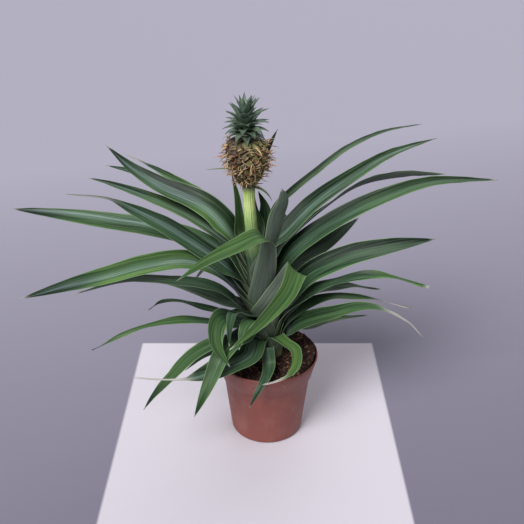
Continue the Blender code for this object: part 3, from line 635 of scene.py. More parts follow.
# Each strap leaf: its solid's name, direction, root height, the (reach, height, sideways)
# points of its midrib, width, shape and looks, from the top of the rosette down.
STRAP_LEAVES = (
    ("left_1", 158, 226, [(40, 277), (61, 291), (110, 305), (147, 322), (176, 344)], 32,
     dict(fold=0.35, roll=-34, lime=(0.14, 0.34, 0.7), wax_and_sheen=(0.95, 0.1), rim=0.5, shade=0.9)),
    ("left_2", 158, 215, [(38, 252), (75, 272), (125, 287), (178, 297), (209, 300)], 23,
     dict(fold=0.3, roll=-6, tip_roll=-22, lime=(0.34, 0.58, 0.6), wax_and_sheen=(0.35, 0.1), rim=0.6,
     shade=0.95)),
    ("left_3", 134, 206, [(48, 264), (85, 283.5), (126, 290), (161, 294), (238, 299)], 18,
     dict(roll=-22, dry=0.12, lime=(0.3, 0.6, 0.5))),
    ("left_4", 146, 197, [(42, 250), (70, 267.5), (114, 288), (161, 300.5), (216, 300)], 25,
     dict(roll=-10, tip_roll=-14, wax_and_sheen=(0.4, 0.0), shade=0.6)),
    ("left_5", 190, 185, [(40, 231), (60, 250), (93, 279), (130, 304), (150, 316), (192, 324)], 26,
     dict(roll=-30, tip_roll=-60, dry=0.17, taper=4.0, wax_and_sheen=(0.6, -0.1), rim=0.15, bleach=0.4)),
    ("left_6", 171, 175, [(44, 238), (73, 253), (117, 262), (164, 266.5), (223, 271.5),
     (283, 274.5)], 28, dict(roll=-12, tip_roll=-44, taper=3.6, wax_and_sheen=(0.85, -0.25), rim=0.25,
     shade=0.0, tip_shade=0.9, lime=(0.35, 0.75, 0.25))),
    ("left_7", 200, 160, [(44, 222), (79, 243), (129, 245), (161, 241), (210, 236), (257, 230)],
     30, dict(roll=-8, tip_roll=-46, taper=3.6, lime=(0.35, 0.68, 0.7), wax_and_sheen=(0.8, 0.1), rim=0.2,
     tip_shade=0.9)),
    ("left_8", 208, 147, [(36, 190, 12), (50, 208, 12), (70, 220, 8), (100, 225, -6),
     (138, 227, -27), (197, 206, -64)], 27, dict(roll=-10)),
    ("left_9", 166, 142, [(45, 170), (91, 182), (132, 188)], 22, dict(roll=-12)),
    ("left_10", 172, 136.5, [(42, 156.5), (68, 161), (100, 168), (124, 165), (142, 152)], 10,
     dict(roll=-18, wave=1.2)),
    ("left_11", 192, 122.5, [(45, 150), (68, 157), (109, 163), (156, 155), (205, 136)], 12,
     dict(roll=-24, wave=1.4, spread=1.1, lime=(0.5, 0.95, 0.55), tip_shade=0.1)),
    ("right_1", 50, 228, [(42, 284, -4), (67, 297, -8), (109, 308, -10), (173, 319, -8),
     (266, 318, -4), (374, 303, -2)], 9, dict(roll=24, lime=(0.2, 0.9, 0.3), old=0.25,
     shade=0.8)),
    ("right_2", 32, 219, [(42, 258, -4), (79, 285, -8), (139, 306, -5), (201, 321, -1),
     (275, 327)], 24, dict(roll=22, lime=(0.55, 0.9, 0.2), wax_and_sheen=(0.45, 0.2), rim=0.3,
     tip_shade=0.4, shade=0.8)),
    ("right_3", 22, 206, [(45, 252, -3), (84, 280, -6), (137, 302, -1), (191, 306), (255, 298)],
     26, dict(roll=-8, tip_roll=-70, old=0.4, shade=0.0, wax_and_sheen=(0.6, 0.2))),
    ("right_4", 5, 188, [(46, 241), (97, 277), (146, 301), (202, 318), (279, 318)], 30,
     dict(roll=24, tip_roll=22, lime=(0.55, 0.95, 0.25), wax_and_sheen=(0.2, 0.1), rim=0.4, shade=0.8,
     tip_shade=0.3)),
    ("right_5", 25, 172, [(44, 212.5), (94, 233), (140, 257)], 26, dict(roll=4, taper=3.2,
     tip_roll=44, old=0.2, shade=0.8)),
    ("right_6", -5, 143, [(42, 194), (61, 215), (106, 240), (151, 254), (203, 265)], 31,
     dict(roll=16, taper=3.4, tip_roll=66, rim=0.3, shade=0.95, tip_shade=0.8)),
    ("right_7", -10, 135, [(55, 191), (90, 210), (125, 222), (158, 222), (194, 213)], 18,
     dict(roll=18, wave=1.8, lime=(0.8, 0.97, 1.0), tip_shade=0.0)),
    ("right_8", 10, 128, [(52, 178), (98, 187), (145, 178)], 18,
     dict(roll=14, wave=1.2, old=0.5)),
    ("right_9", 2, 121, [(50, 168), (82, 180), (123, 178), (175, 163)], 18,
     dict(roll=16, wave=1.0, dry=0.2, lime=(0.5, 0.8, 0.3))),
    ("right_10", -16, 114, [(44, 154), (83, 173), (130, 190), (168, 178), (186, 159)], 26,
     dict(roll=24, dry=0.22, spread=1.2, lime=(0.3, 0.7, 0.25), rim=0.5)),
    ("right_11", 28, 107.5, [(53, 125), (90, 125), (143, 116)], 15, dict(roll=12, spread=1.6,
     lime=(0.7, 1.0, 0.4))),
    ("back_1", 78, 191, [(58, 236), (110, 238), (165, 210), (210, 160)], 24,
     dict(lime=(0.5, 0.9, 0.3))),
    ("back_2", 108, 182, [(58, 228), (105, 232), (160, 206), (205, 158)], 24,
     dict(wax_and_sheen=(0.3, 0.1))),
    ("back_3", 92, 162, [(52, 194), (118, 190), (180, 135)], 22, dict(lime=(0.6, 1.0, 0.3))),
    ("back_4", 58, 138.5, [(50, 176), (108, 174), (165, 138)], 20, dict()),
    ("back_5", 128, 151, [(50, 180), (108, 175), (162, 132)], 20, dict(rim=0.6)),
    ("back_6", 75, 120, [(48, 138), (95, 128), (130, 92)], 17,
     dict(spread=1.5, lime=(0.5, 1.0, 0.4))),
    ("back_7", 112, 118, [(48, 136), (92, 128), (128, 95)], 17, dict(spread=1.5)),
    ("inner_1", 290, 205, [(24, 262, 14.5), (31, 295, 21), (36, 314, 26), (38, 328, 24)], 20,
     dict(spread=0.8, taper=9.0, old=0.7)),
    ("inner_2", 72, 244, [(23, 285, 7), (26, 313, 8), (36, 343, -7), (49, 371, -20)], 15,
     dict(taper=3.2)),
    ("inner_3", 135, 234, [(19, 280), (20, 304), (26, 327)], 15, dict(lime=(0.0, 1.0, 0.45),
     rim=1.0, tip_shade=0.0)),
    ("inner_4", 48, 236, [(26, 270, 1), (27, 287, 1), (21.5, 306, 6)], 26, dict()),
    ("front_1", 275, 165, [(26.5, 222, 7), (33.5, 250, 12), (43, 275, 13), (56, 286, 5),
     (74, 285, -18), (96, 280, -50), (118, 271, -81)], 28, dict(roll=-30, spread=0.75,
     tip_roll=-75, lime=(0.42, 0.95, 0.6), rim=0.3, shade=0.0, tip_shade=0.0)),
    ("front_2", 285, 153, [(38, 208, 18), (53, 232, 27), (64, 245, 30), (76, 245, 24),
     (85, 234, 14), (92, 221, -3), (97, 203, -28), (102, 184, -60)], 30, dict(roll=-25,
     tip_roll=-56, lime=(0.45, 1.0, 0.7), rim=0.4, shade=0.0, tip_shade=0.0)),
    ("front_3", 219, 130.8, [(34, 161.5), (50, 174, 4), (62, 180, 8), (74, 177, 14), (85, 163, 24),
     (84, 142, 40)], 30, dict(roll=-15, tip_roll=-30, lime=(0.6, 1.0, 0.4), shade=0.1,
     tip_shade=0.1, taper=2.9)),
    ("front_4", 249, 141, [(44, 179, -5), (57, 189, -9), (66, 179, -11), (74, 156, -13)], 23,
     dict()),
    ("front_5", 256, 136, [(36, 171, 5), (52, 179, 0), (65, 175, -4), (75, 155, -10)], 26,
     dict(lime=(0.5, 1.0, 0.3))),
    ("front_6", 230, 127, [(44, 149, 3), (63, 153, 6), (88, 146, 8), (103, 131, 7), (121, 111, 4),
     (134, 88, 0)], 24, dict(roll=-16, taper=3.5, lime=(0.5, 0.9, 0.35), shade=0.2)),
    ("front_7", 212, 117.5, [(46, 137.5), (76, 140.5), (103, 133.5), (131, 118), (154, 104),
     (170, 88)], 27, dict(taper=3.5, lime=(0.4, 0.8, 0.35), shade=0.2)),
    ("front_8", 225, 112.5, [(46, 129, 11), (72, 128, 10), (97, 125, 4), (120, 126, -2),
     (144, 130, -15), (169, 136, -34)], 38, dict(dry=0.28, taper=4.5, lime=(0.1, 0.5, 0.1),
     shade=0.1, wax_and_sheen=(0.4, 0.1))),
    ("front_9", 200, 107, [(50, 122), (80, 118), (108, 104)], 15, dict(spread=1.6)),
    ("front_10", 268, 107, [(40, 115), (60, 112, -3), (72, 103, -12), (82, 84, -23)], 17,
     dict(spread=1.5, wax_and_sheen=(0.1, 0.0))),
    ("front_11", 300, 117.6, [(36, 136, 5), (50, 134, 8), (61, 123, 0), (65, 115, -16),
     (62, 111, -32), (58, 109.5, -46)], 17, dict(dry=0.2, spread=1.1, taper=3.8,
     lime=(0.3, 0.95, 1.0), rim=1.0, shade=0.1, tip_shade=0.0)),
)


def make_strap_leaves():
    """All the strap leaves; each has a pattern of its own in the same finish."""
    finish = leaf_material()
    for k, (name, turn, root, points, width, shape) in enumerate(STRAP_LEAVES):
        made = strap_leaf("strap_" + name, turn, root, points, width, k * 0.37 + 0.11, **shape)
        finish_piece(made, "leaf", "leaf_" + name, materials=[finish])


# ---------------------------------------------------------------- small blades and bits

def small_blade(name, length, width, rise, fall, fold, thick, stations, across, blunt,
                sway=0.0, twist=0.0):
    """A short pointed blade with its root at the origin, growing along +X.

    It leaves at the angle rise above level and ends at the angle fall; sway turns it
    sideways on its way and twist turns it about its own line. fold is how deep its
    channel is and blunt how late it narrows; stations and across count its points.
    """
    centre = Vector((-1.0, 0.0, 0.0))
    above = []
    below = []
    marks = {"along": ([], []), "under": ([], [])}
    for i in range(stations):
        share = i / (stations - 1)
        angle = math.radians(rise + (fall - rise) * share)
        bearing = math.radians(sway * share)
        ahead = Vector((math.cos(angle) * math.cos(bearing), math.cos(angle) * math.sin(bearing),
                        math.sin(angle)))
        side = Vector((-math.sin(bearing), math.cos(bearing), 0.0))
        turned = Matrix.Rotation(math.radians(twist * share), 3, ahead)
        side = turned @ side
        normal = ahead.cross(side)
        if i:
            centre = centre + ahead * (length / (stations - 1))
        half = max(width * (1.0 - share ** blunt), 0.25) / 2
        top = []
        for k in range(across):
            u = 2.0 * k / (across - 1) - 1.0
            top.append(centre + side * half * u + normal * fold * half * u * u)
        above.append(top)
        below.append([p - normal * thick * (1.0 - 0.6 * share) for p in top])
        for key, upper, lower in (("along", share, share), ("under", 0.0, 1.0)):
            marks[key][0].append([upper] * across)
            marks[key][1].append([lower] * across)
    return bpy.data.objects.new(name, skin(name, above, below, marks, sharp=60))


def bundle(name, members):
    """A collection of shapes to be repeated; it is never shown itself."""
    made = bpy.data.collections.new(name)
    for member in members:
        made.objects.link(member)
    return made


def discard(collection):
    """Remove a collection and the shapes in it."""
    for member in list(collection.objects):
        bpy.data.objects.remove(member)
    bpy.data.collections.remove(collection)


def run_tree(name, tree, mesh=None, **values):
    """An object whose mesh the tree has made; a word names an input, with _ for a space."""
    made = new_object(name, mesh or bpy.data.meshes.new(name))
    modifier = made.modifiers.new(tree.name, "NODES")
    modifier.node_group = tree
    for item in tree.interface.items_tree:
        word = item.name.replace(" ", "_")
        if item.in_out == "INPUT" and word in values:
            modifier[item.identifier] = values[word]
    return settle(made)


def spiral_tree():
    """Blades in one close spiral round the plant's axis, low ones first."""
    tree, add, given = new_tree("blades_in_a_spiral", (
        ("Count", "Int"), ("Turn", "Float"), ("Foot", "Float"), ("Height", "Float"),
        ("Low Radius", "Float"), ("High Radius", "Float"), ("Bulge", "Float"),
        ("Low Scale", "Float"), ("High Scale", "Float"), ("Axis At Foot", "Float"),
        ("Axis Travel", "Float"), ("Sway", "Float"), ("Tiers", "Float"), ("Picks", "Float"),
        ("Seed", "Int"), ("Blades", "Collection"), ("Finish", "Material")))
    index = add("GeometryNodeInputIndex")
    share = add("Math", index, given["Count"], operation="DIVIDE")
    angle = add("Math", index, given["Turn"], operation="MULTIPLY")
    half_turn = add("Math", share, math.pi, operation="MULTIPLY")
    belly = add("Math", half_turn, operation="SINE")
    even = add("MapRange", Value=share, To_Min=given["Low Radius"], To_Max=given["High Radius"])
    radius = add("Math", belly, given["Bulge"], even, operation="MULTIPLY_ADD")
    shift = add("Math", share, given["Axis Travel"], given["Axis At Foot"],
                operation="MULTIPLY_ADD")
    cosine = add("Math", angle, operation="COSINE")
    sine = add("Math", angle, operation="SINE")
    x = add("Math", cosine, radius, shift, operation="MULTIPLY_ADD")
    y = add("Math", sine, radius, operation="MULTIPLY")
    z = add("Math", share, given["Height"], given["Foot"], operation="MULTIPLY_ADD")
    place = add("CombineXYZ", X=x, Y=y, Z=z)
    points = add("GeometryNodePoints", Count=given["Count"], Position=place)

    tilts = random_tilts(add, given, "Sway", 3)
    about_z = add("Math", angle, tilts[2], operation="ADD")
    rotation = add("CombineXYZ", X=tilts[0], Y=tilts[1], Z=about_z)
    size = add("MapRange", Value=share, To_Min=given["Low Scale"], To_Max=given["High Scale"])
    vary = add("FunctionNodeRandomValue", Min=0.86, Max=1.12, Seed=given["Seed"], data_type="FLOAT")
    size = add("Math", size, vary, operation="MULTIPLY")
    any_pick = add("FunctionNodeRandomValue", Min=0.0, Max=given["Picks"], Seed=given["Seed"],
                   data_type="FLOAT")
    pick = add("Math", share, given["Tiers"], any_pick, operation="MULTIPLY_ADD")
    pick = add("Math", pick, operation="FLOOR")
    repeat_shapes(add, given, "Blades", points, pick, rotation, size)
    return tree


def scatter_tree():
    """Bits strewn over a surface, each turned and sized at random."""
    tree, add, given = new_tree("bits_on_the_peat", (
        ("Ground", "Geometry"), ("Density", "Float"), ("Least Size", "Float"),
        ("Most Size", "Float"), ("Tumble", "Float"), ("Seed", "Int"), ("Bits", "Collection"),
        ("Finish", "Material")))
    points = add("GeometryNodeDistributePointsOnFaces", Mesh=given["Ground"],
                 Density=given["Density"], Seed=given["Seed"])
    tilts = random_tilts(add, given, "Tumble", 2)
    about_z = add("FunctionNodeRandomValue", Min=0.0, Max=2 * math.pi, Seed=given["Seed"],
                  data_type="FLOAT")
    rotation = add("CombineXYZ", X=tilts[0], Y=tilts[1], Z=about_z)
    size = add("FunctionNodeRandomValue", Min=given["Least Size"], Max=given["Most Size"],
               Seed=given["Seed"], data_type="FLOAT")
    pick = add("FunctionNodeRandomValue", Min=0, Max=99, Seed=given["Seed"], data_type="INT")
    shade = add("FunctionNodeRandomValue", Min=0.0, Max=1.0, Seed=given["Seed"], data_type="FLOAT")
    marked = add("GeometryNodeStoreNamedAttribute", Geometry=points, Name="shade",
                 Value=shade, data_type="FLOAT", domain="POINT")
    repeat_shapes(add, given, "Bits", marked, pick, rotation, size)
    return tree


# ---------------------------------------------------------------- crown, fruit and stalk

def make_crown(tree):
    """The tuft: broad dusty leaves, the low ones arching over the fruit's shoulders."""
    foot = STALK_TOP + GAP + FRUIT_HEIGHT + GAP
    tall = 22.5
    # Length, width, and the angles at which a leaf starts and ends, from the lowest tier up.
    tiers = [(17, 10.0, 26, -48), (23, 12.0, 32, -26), (25, 12.5, 42, 0), (26, 12.0, 52, 24),
             (25, 11.0, 62, 44), (25, 9.5, 72, 58)]
    blades = bundle("crown_blades", [
        small_blade("crown_blade_%d" % k, *tier, fold=0.35, thick=0.7, stations=11, across=7,
                    blunt=1.7)
        for k, tier in enumerate(tiers)])
    # Crown blades are lighter grey-green at the root and middle than at the tip: partly their own
    # dusty colour, partly painted light on the crown's centre.
    finish = blade_material("dusty_crown_leaf", "#6C8465", "#788E76", "#4C5F50", "#6E8270", 0.5,
                            speckle=0.6)
    made = run_tree(
        "crown_tuft", tree, Count=54, Turn=GOLDEN_ANGLE, Foot=(foot + 3.5) * MM,
        Height=tall * MM, Low_Radius=5.5 * MM, High_Radius=1.2 * MM, Bulge=0.0, Low_Scale=1.0,
        High_Scale=0.98, Axis_At_Foot=axis_x(foot) * MM, Axis_Travel=TOP_SLOPE * tall * MM,
        Sway=0.10, Tiers=5.99, Picks=0.0, Seed=3, Blades=blades, Finish=finish)
    discard(blades)
    finish_piece(made, "crown", "crown")


def fruit_radius(share):
    """Radius of the fruit's core at a share of its height: a barrel, narrow at the foot."""
    foot = ease(share, -0.25, 0.6)
    shoulder = 1.0 - ease(share, 0.85, 1.25)
    return FRUIT_RADIUS * (0.28 + 0.72 * foot) * (0.45 + 0.55 * shoulder)


def make_fruit(tree):
    """Fruitlets swelling in a spiral, with withered bracts, flower shreds and wisps."""
    foot = STALK_TOP + GAP
    tall = FRUIT_HEIGHT
    fruitlets = 96
    fruitlet_radius = 6.0
    groove_width = 2.6
    groove_depth = 2.6
    eyes = []
    for k in range(fruitlets):
        share = (k + 0.5) / fruitlets
        heading = GOLDEN_ANGLE * k
        radius = fruit_radius(share)
        eyes.append((radius * math.cos(heading), radius * math.sin(heading), tall * share))
    eyes = np.array(eyes)
    rows = 120
    columns = 150
    corners = []
    swells = []
    for i in range(rows + 1):
        share = i / rows
        for j in range(columns):
            heading = 2 * math.pi * j / columns
            radius = fruit_radius(share)
            spot = np.array((radius * math.cos(heading), radius * math.sin(heading),
                             tall * share))
            apart = np.sqrt(((eyes - spot) ** 2).sum(axis=1))
            near, second = np.partition(apart, 1)[:2]
            groove = ease(second - near, 0.0, groove_width)
            dome = 1.0 - min(near / fruitlet_radius, 1.0) ** 2
            swell = groove * (0.55 + 0.45 * dome)
            fade = ease(share, 0.0, 0.06) * (1.0 - ease(share, 0.94, 1.0))
            crumble = noise.noise(Vector(spot) / 1.6) * 0.35
            radius = radius - 1.4 + fade * (groove_depth * swell + crumble)
            height = foot + tall * share
            corners.append(((radius * math.cos(heading) + axis_x(height)) * MM,
                            radius * math.sin(heading) * MM, height * MM))
            swells.append(swell)
    bottom = len(corners)
    corners.append((axis_x(foot) * MM, 0.0, foot * MM))
    corners.append((axis_x(foot + tall) * MM, 0.0, (foot + tall) * MM))
    swells += [0.0, 0.0]
    faces = []
    for i in range(rows):
        for j in range(columns):
            after = (j + 1) % columns
            faces.append((i * columns + j, i * columns + after, (i + 1) * columns + after,
                          (i + 1) * columns + j))
    for j in range(columns):
        after = (j + 1) % columns
        faces.append((bottom, after, j))
        faces.append((bottom + 1, rows * columns + j, rows * columns + after))
    mesh = bpy.data.meshes.new("fruit_rind")
    mesh.from_pydata(corners, [], faces)
    mesh.attributes.new("swell", "FLOAT", "POINT").data.foreach_set("value", swells)
    mesh.shade_smooth()
    rind = new_object("fruit_rind", mesh)
    finish_piece(rind, "fruit", "fruit", materials=[fruit_material()])

    # Three sorts of withered blade: bracts that lie on the fruitlets, curled flower shreds
    # over them, and a few long wisps that stand out. Each has its number, how many shapes
    # there are, the ranges of length, width, rise and fall, the most sway and twist, its
    # fold, how blunt it is, how loosely it sits, and its finish.
    rng = random.Random(21)
    dressed = 47.0                # height that the withered blades cover
    sorts = (
        ("fruit_bract", 110, 10, (6, 10), (3.2, 5.0), (15, 65), (-5, 60), 50, 60, 0.5, 1.1,
         0.3, blade_material("withered_bract", "#5F5A38", "#7F6A4A", "#B49A76", "#6A5040", 0.75,
                             speckle=0.6)),
        ("flower_shred", 300, 12, (7, 14), (1.1, 2.6), (-50, 60), (-130, 60), 120, 240, 0.5,
         1.5, 0.9, blade_material("withered_flower", "#AC9468", "#DCB98C", "#F2DCB6",
                                  "#C0A078", 0.8, speckle=0.6)),
        ("fruit_wisp", 46, 8, (12, 19), (1.8, 3.0), (-35, 45), (-80, 60), 80, 140, 0.3, 2.0,
         0.35, blade_material("russet_wisp", "#94664A", "#B8825F", "#D2A486", "#94664A", 0.8,
                              speckle=0.4)),
    )
    for seed, (name, many, picks, length, width, rise, fall, sway, twist, fold, blunt, loose,
               finish) in enumerate(sorts):
        blades = bundle(name + "_shapes", [
            small_blade("%s_%d" % (name, k), rng.uniform(*length), rng.uniform(*width),
                        rng.uniform(*rise), rng.uniform(*fall), sway=rng.uniform(-sway, sway),
                        twist=rng.uniform(-twist, twist), fold=fold, thick=0.4, stations=9,
                        across=3, blunt=blunt)
            for k in range(picks)])
        made = run_tree(
            name + "s", tree, Count=many, Turn=GOLDEN_ANGLE * (1.0 + seed),
            Foot=(foot + 1.5) * MM, Height=dressed * MM, Low_Radius=7.0 * MM,
            High_Radius=18.0 * MM, Bulge=9.0 * MM, Low_Scale=0.8, High_Scale=1.0,
            Axis_At_Foot=axis_x(foot) * MM, Axis_Travel=TOP_SLOPE * dressed * MM, Sway=loose,
            Tiers=0.0, Picks=picks - 0.01, Seed=5 + 3 * seed, Blades=blades, Finish=finish)
        discard(blades)
        finish_piece(made, "fruit", "fruit")


def make_stem():
    """Trunk and fruit stalk, grooved lengthwise, with leaf scars where the peat begins."""
    stalk_foot = STEM_COLLAR_HEIGHT + 22.0
    profile = [(0.0, STALK_TOP), (STALK_RADIUS, STALK_TOP)]
    for k in range(1, 131):
        height = STALK_TOP - 2.0 * k
        if height > stalk_foot:
            radius = STALK_RADIUS - 0.4 * bump_between(height, 290.0, 308.0, 10.0)
        else:
            share = ease(height, STEM_COLLAR_HEIGHT, stalk_foot)
            radius = stem_radius(height) * (1.0 - share) + STALK_RADIUS * share
        profile.append((radius, height))
    profile += [(STEM_FOOT_RADIUS - 2.5, STEM_FOOT_HEIGHT + 1.0), (0.0, STEM_FOOT_HEIGHT)]
    made = lathe("plant_stem", profile, 72)
    mesh = made.data
    heights = []
    ways = []
    for corner in mesh.vertices:
        height = corner.co.z / MM
        heading = math.atan2(corner.co.y, corner.co.x)
        radius = math.hypot(corner.co.x, corner.co.y) / MM
        if radius > 3.0 and STEM_FOOT_HEIGHT + 2.0 < height < STALK_TOP - 1.0:
            ribbed = 0.25 * math.sin(heading * 17.0) * ease(height, 245.0, 262.0)
            scars = 0.35 * math.sin(height * 1.3 + heading) * (1.0 - ease(height, 118.0, 132.0))
            rough = 0.4 * noise.noise(Vector((heading * 3.0, height / 7.0, 4.0)))
            wider = (radius + ribbed + scars + rough) / radius
            corner.co.x *= wider
            corner.co.y *= wider
        heights.append(height)
        ways.append(heading * radius)
        corner.co.x += axis_x(height) * MM
    mesh.attributes.new("height", "FLOAT", "POINT").data.foreach_set("value", heights)
    mesh.attributes.new("round_way", "FLOAT", "POINT").data.foreach_set("value", ways)
    mesh.shade_smooth()
    finish_piece(made, "stem", "stem", materials=[stem_material()])

    # Small bracts on the stalk: direction, height, distance from the axis, length, width,
    # and the angles at which each starts and ends.
    green = blade_material("stalk_bract_leaf", "#7E9A4A", "#6F8250", "#66705A", "#747F62", 0.5)
    for k, (turn, height, reach, *shape) in enumerate((
            (348, 319, 6.0, 27, 6.5, 0, -66), (100, 286, 6.5, 30, 6.5, 70, 40),
            (188, 340, 15.0, 30, 3.2, 8, -4))):
        blade = small_blade("stalk_bract_%d" % (k + 1), *shape, fold=0.3, thick=0.6,
                            stations=20, across=7, blunt=1.8)
        heading = math.radians(turn)
        foot = Vector((axis_x(height) + math.cos(heading) * reach, math.sin(heading) * reach,
                       height)) * MM
        blade.data.transform(Matrix.Translation(foot) @ Matrix.Rotation(heading, 4, "Z"))
        bpy.context.scene.collection.objects.link(blade)
        finish_piece(blade, "stem", "stem", materials=[green])


# ---------------------------------------------------------------- pot and peat

def make_pot():
    """Thin moulded pot: rolled lip, sloping collar, step, tapering body, rounded foot."""
    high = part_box("pot")[1]
    top = high.z / MM
    rim = high.x / MM
    collar_foot = top - POT_COLLAR
    inner = [(0.0, POT_WALL), (41.0, POT_WALL), (41.7, 2.0), (51.2, collar_foot),
             (53.2, collar_foot + 2.0)]
    lip = [(rim - POT_WALL + POT_WALL * 0.5 * (1 - math.cos(a)) - 0.02,
            top - 0.65 * (1 - math.sin(a)))
           for a in (math.radians(t) for t in range(0, 181, 20))]
    collar = [(rim, top - 2.2), (rim - 0.45, top - 2.6), (54.8, collar_foot + 0.5),
              (54.4, collar_foot + 0.05), (54.0, collar_foot - 0.2),
              (52.9, collar_foot - 0.45), (POT_SHOULDER_RADIUS, collar_foot - 1.0)]
    body = [(POT_SHOULDER_RADIUS - (POT_SHOULDER_RADIUS - POT_FOOT_RADIUS) * share,
             (collar_foot - 1.0) * (1 - share) + POT_FOOT_ROUNDING * share)
            for share in (0.15, 0.3, 0.45, 0.6, 0.75, 0.88, 1.0)]
    foot = [(POT_FOOT_RADIUS - POT_FOOT_ROUNDING * (1 - math.cos(a)),
             POT_FOOT_ROUNDING - POT_FOOT_ROUNDING * math.sin(a))
            for a in (math.radians(t) for t in (20, 40, 60, 75, 90))]
    made = lathe("nursery_pot", inner + lip + collar + body + foot + [(0.0, 0.0)], 128)
    cutters = []
    for k in range(HOLE_COUNT):
        angle = 2 * math.pi * k / HOLE_COUNT
        bpy.ops.mesh.primitive_cylinder_add(
            vertices=24, radius=HOLE_RADIUS * MM, depth=8.0 * MM,
            location=(HOLE_RING * MM * math.cos(angle), HOLE_RING * MM * math.sin(angle), 0.0))
        cutter = bpy.context.object
        cutter.users_collection[0].objects.unlink(cutter)
        cutters.append(cutter)
    drills = bundle("drain_drills", cutters)
    holes = made.modifiers.new("Drain holes", "BOOLEAN")
    holes.operation = "DIFFERENCE"
    holes.operand_type = "COLLECTION"
    holes.collection = drills
    settle(made)
    discard(drills)
    made.data.shade_smooth()
    made.data.set_sharp_from_angle(angle=math.radians(32))
    finish_piece(made, "pot", "pot", materials=[pot_material()])


def peat_height(x, y):
    """Surface of the peat: crumbly, heaped towards the back right and round the stem."""
    heap = 10.0 * ease(0.85 * x + 0.5 * y, -15.0, 50.0)
    heap += 6.0 * (1.0 - ease(math.hypot(x - axis_x(100.0), y), 12.0, 26.0))
    broad = noise.noise(Vector((x, y, 3.0)) / 9.0) * 2.2
    lumps = noise.noise(Vector((x, y, 8.0)) / 3.4) * 1.5
    crumbs = noise.noise(Vector((x, y, 1.0)) / 1.5) * 0.8
    return PEAT_LEVEL + heap + broad + lumps + crumbs


def chip(name, rng, long, wide, thick):
    """An angular flake of bark or a crumb: the hull of a few points."""
    mesh = bpy.data.meshes.new(name)
    corners = []
    faces = []
    ring = 6
    for level, narrow in ((-0.5, 0.75), (0.5, 0.8)):
        for k in range(ring):
            angle = 2 * math.pi * k / ring + rng.uniform(-0.3, 0.3)
            reach = narrow * rng.uniform(0.75, 1.1)
            corners.append((math.cos(angle) * reach * long / 2 * MM,
                            math.sin(angle) * reach * wide / 2 * MM,
                            (level * thick + rng.uniform(-0.2, 0.2) * thick) * MM))
    faces.append(tuple(reversed(range(ring))))
    faces.append(tuple(range(ring, 2 * ring)))
    for k in range(ring):
        after = (k + 1) % ring
        faces.append((k, after, after + ring, k + ring))
    mesh.from_pydata(corners, [], faces)
    return bpy.data.objects.new(name, mesh)


def make_peat():
    """Peat that fills the pot, with bark, crumbs and fibres lying on it."""
    rng = random.Random(4)
    rings = 46
    columns = 150
    corners = [(0.0, 0.0, peat_height(0.0, 0.0) * MM)]
    faces = []
    for i in range(1, rings + 1):
        radius = PEAT_EDGE * i / rings
        for j in range(columns):
            heading = 2 * math.pi * j / columns
            x = radius * math.cos(heading)
            y = radius * math.sin(heading)
            corners.append((x * MM, y * MM, peat_height(x, y) * MM))
    for j in range(columns):
        after = (j + 1) % columns
        faces.append((0, 1 + j, 1 + after))
        for i in range(rings - 1):
            a = 1 + i * columns
            b = a + columns
            faces.append((a + j, b + j, b + after, a + after))
    ground = bpy.data.meshes.new("peat_top")
    ground.from_pydata(corners, [], faces)

    # The body below: down the pot's inner wall to its base, with a little play.
    below = len(corners)
    start = 1 + (rings - 1) * columns
    for radius, height in ((50.6, 76.0), (41.2, 1.7)):
        for j in range(columns):
            heading = 2 * math.pi * j / columns
            corners.append((radius * math.cos(heading) * MM, radius * math.sin(heading) * MM,
                            height * MM))
    corners.append((0.0, 0.0, 1.7 * MM))
    for j in range(columns):
        after = (j + 1) % columns
        faces.append((start + j, below + j, below + after, start + after))
        faces.append((below + j, below + columns + j, below + columns + after, below + after))
        faces.append((below + columns + j, len(corners) - 1, below + columns + after))
    mesh = bpy.data.meshes.new("peat")
    mesh.from_pydata(corners, [], faces)
    mesh.shade_smooth()
    finish_piece(new_object("peat", mesh), "soil", "soil", materials=[peat_material()])

    # Each kind of bit: its shapes, how many lie on a square metre, its least and greatest
    # scale, how far it may tip, and its finish.
    tree = scatter_tree()
    kinds = (
        ("bark_bits", [chip("bark_%d" % k, rng, rng.uniform(5, 9), rng.uniform(2.5, 4.5),
                            rng.uniform(0.8, 1.8)) for k in range(6)],
         30000.0, 0.6, 1.1, 0.6, bits_material("pine_bark", "#22130E", "#8A6248")),
        ("peat_crumbs", [chip("crumb_%d" % k, rng, rng.uniform(1.6, 3.2), rng.uniform(1.4, 2.6),
                              rng.uniform(1.2, 2.0)) for k in range(6)],
         230000.0, 0.6, 1.3, 3.1, bits_material("peat_crumb", "#0E0806", "#4E3024")),
        ("coir_fibres", [small_blade("fibre_%d" % k, rng.uniform(7, 14), rng.uniform(0.5, 0.9),
                                     rng.uniform(-10, 30), rng.uniform(-40, 20),
                                     sway=rng.uniform(-80, 80), fold=0.1, thick=0.35,
                                     stations=7, across=3, blunt=3.0) for k in range(6)],
         8000.0, 0.5, 1.0, 0.3, bits_material("coir_fibre", "#6A4A36", "#B0906E")),
    )
    for seed, (name, shapes, density, least, most, tumble, finish) in enumerate(kinds):
        bits = bundle(name + "_shapes", shapes)
        made = run_tree(name, tree, ground.copy(), Density=density, Least_Size=least,
                        Most_Size=most, Tumble=tumble, Seed=seed + 2, Bits=bits, Finish=finish)
        discard(bits)
        finish_piece(made, "soil", "soil")
    bpy.data.meshes.remove(ground)


# ---------------------------------------------------------------- stage, lights and camera

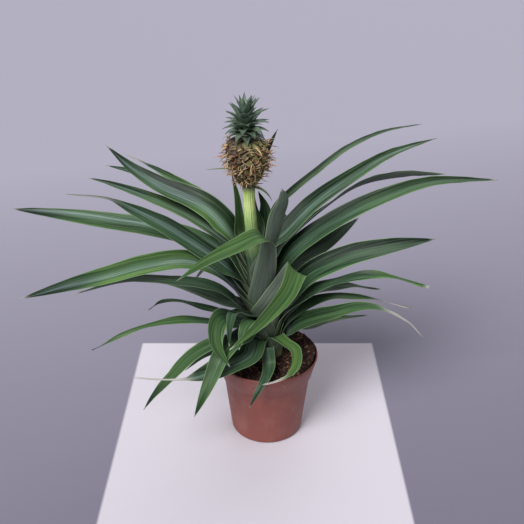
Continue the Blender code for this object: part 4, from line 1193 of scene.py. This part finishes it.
def make_stage():
    """Plain floor, pale where the pot stands and greyer beyond it."""
    bpy.ops.mesh.primitive_grid_add(x_subdivisions=2, y_subdivisions=2, size=9.0,
                                    location=(0.0, 0.0, -0.0004))
    floor = bpy.context.object
    floor.name = "studio_floor"
    made, add, shader = new_material("plain_pale_floor")
    spot = add("TexCoord").outputs["Object"]
    apart = add("VectorMath", spot, (-0.35, 1.0, 0.0), operation="DOT_PRODUCT")
    way = add("SeparateXYZ", spot)
    pale = None
    # The pale part is 340 mm wide, with its back edge 178 mm behind the pot's axis.
    for axis, inside, outside in (("X", -0.182, -0.185), ("X", 0.156, 0.159),
                                  ("Y", 0.177, 0.180), ("Y", -0.300, -0.303)):
        edge = add("MapRange", Value=way.outputs[axis], From_Min=outside, From_Max=inside)
        if pale is None:
            pale = edge
        else:
            pale = add("Math", pale, edge, operation="MULTIPLY")
    # Painted light: beyond the pale part the grey is lighter towards the back left and darker
    # towards the front right.
    painted_light_back_left = add("MapRange", Value=apart.outputs["Value"], From_Min=-0.3, From_Max=1.1)
    colour = add("Mix", Factor=painted_light_back_left, A="#7A7687", B="#ABA8B7", data_type="RGBA")
    colour = add("Mix", Factor=pale, A=colour, B="#DAD5DE", data_type="RGBA")
    fill(shader, Base_Color=colour, Roughness=0.8, Specular_IOR_Level=0.2)
    floor.data.materials.append(made)


def make_lights():
    """Soft light from high on the front left, with a weaker one from behind."""
    for name, toward, angle, strength in (("key", (-0.5, -0.75, 1.0), 28.0, 2.8),
                                          ("back", (0.2, 0.9, 0.9), 50.0, 0.7)):
        lamp = bpy.data.lights.new(name, "SUN")
        lamp.angle = math.radians(angle)
        lamp.energy = strength
        made = bpy.data.objects.new(name, lamp)
        made.rotation_euler = Vector(toward).to_track_quat("Z", "Y").to_euler()
        bpy.context.scene.collection.objects.link(made)
    world = bpy.data.worlds.new("studio")
    bpy.context.scene.world = world
    world.use_nodes = True
    fill(world.node_tree.nodes["Background"], Color="#E6E4EE", Strength=0.35)
    bpy.context.scene.view_settings.view_transform = "Standard"


def make_camera():
    """The camera in front, looking down at the plant."""
    lens = bpy.data.cameras.new("camera")
    lens.sensor_width = CAMERA_SENSOR
    lens.lens = CAMERA_LENS
    made = bpy.data.objects.new("camera", lens)
    made.location = CAMERA_PLACE
    made.rotation_euler = (math.radians(90.0 - CAMERA_DOWN), 0.0, 0.0)
    bpy.context.scene.collection.objects.link(made)
    bpy.context.scene.camera = made


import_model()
make_camera()
make_stage()
make_lights()
make_pot()
make_peat()
make_stem()
blade_spiral = spiral_tree()
make_fruit(blade_spiral)
make_crown(blade_spiral)
make_strap_leaves()
bpy.context.view_layer.update()
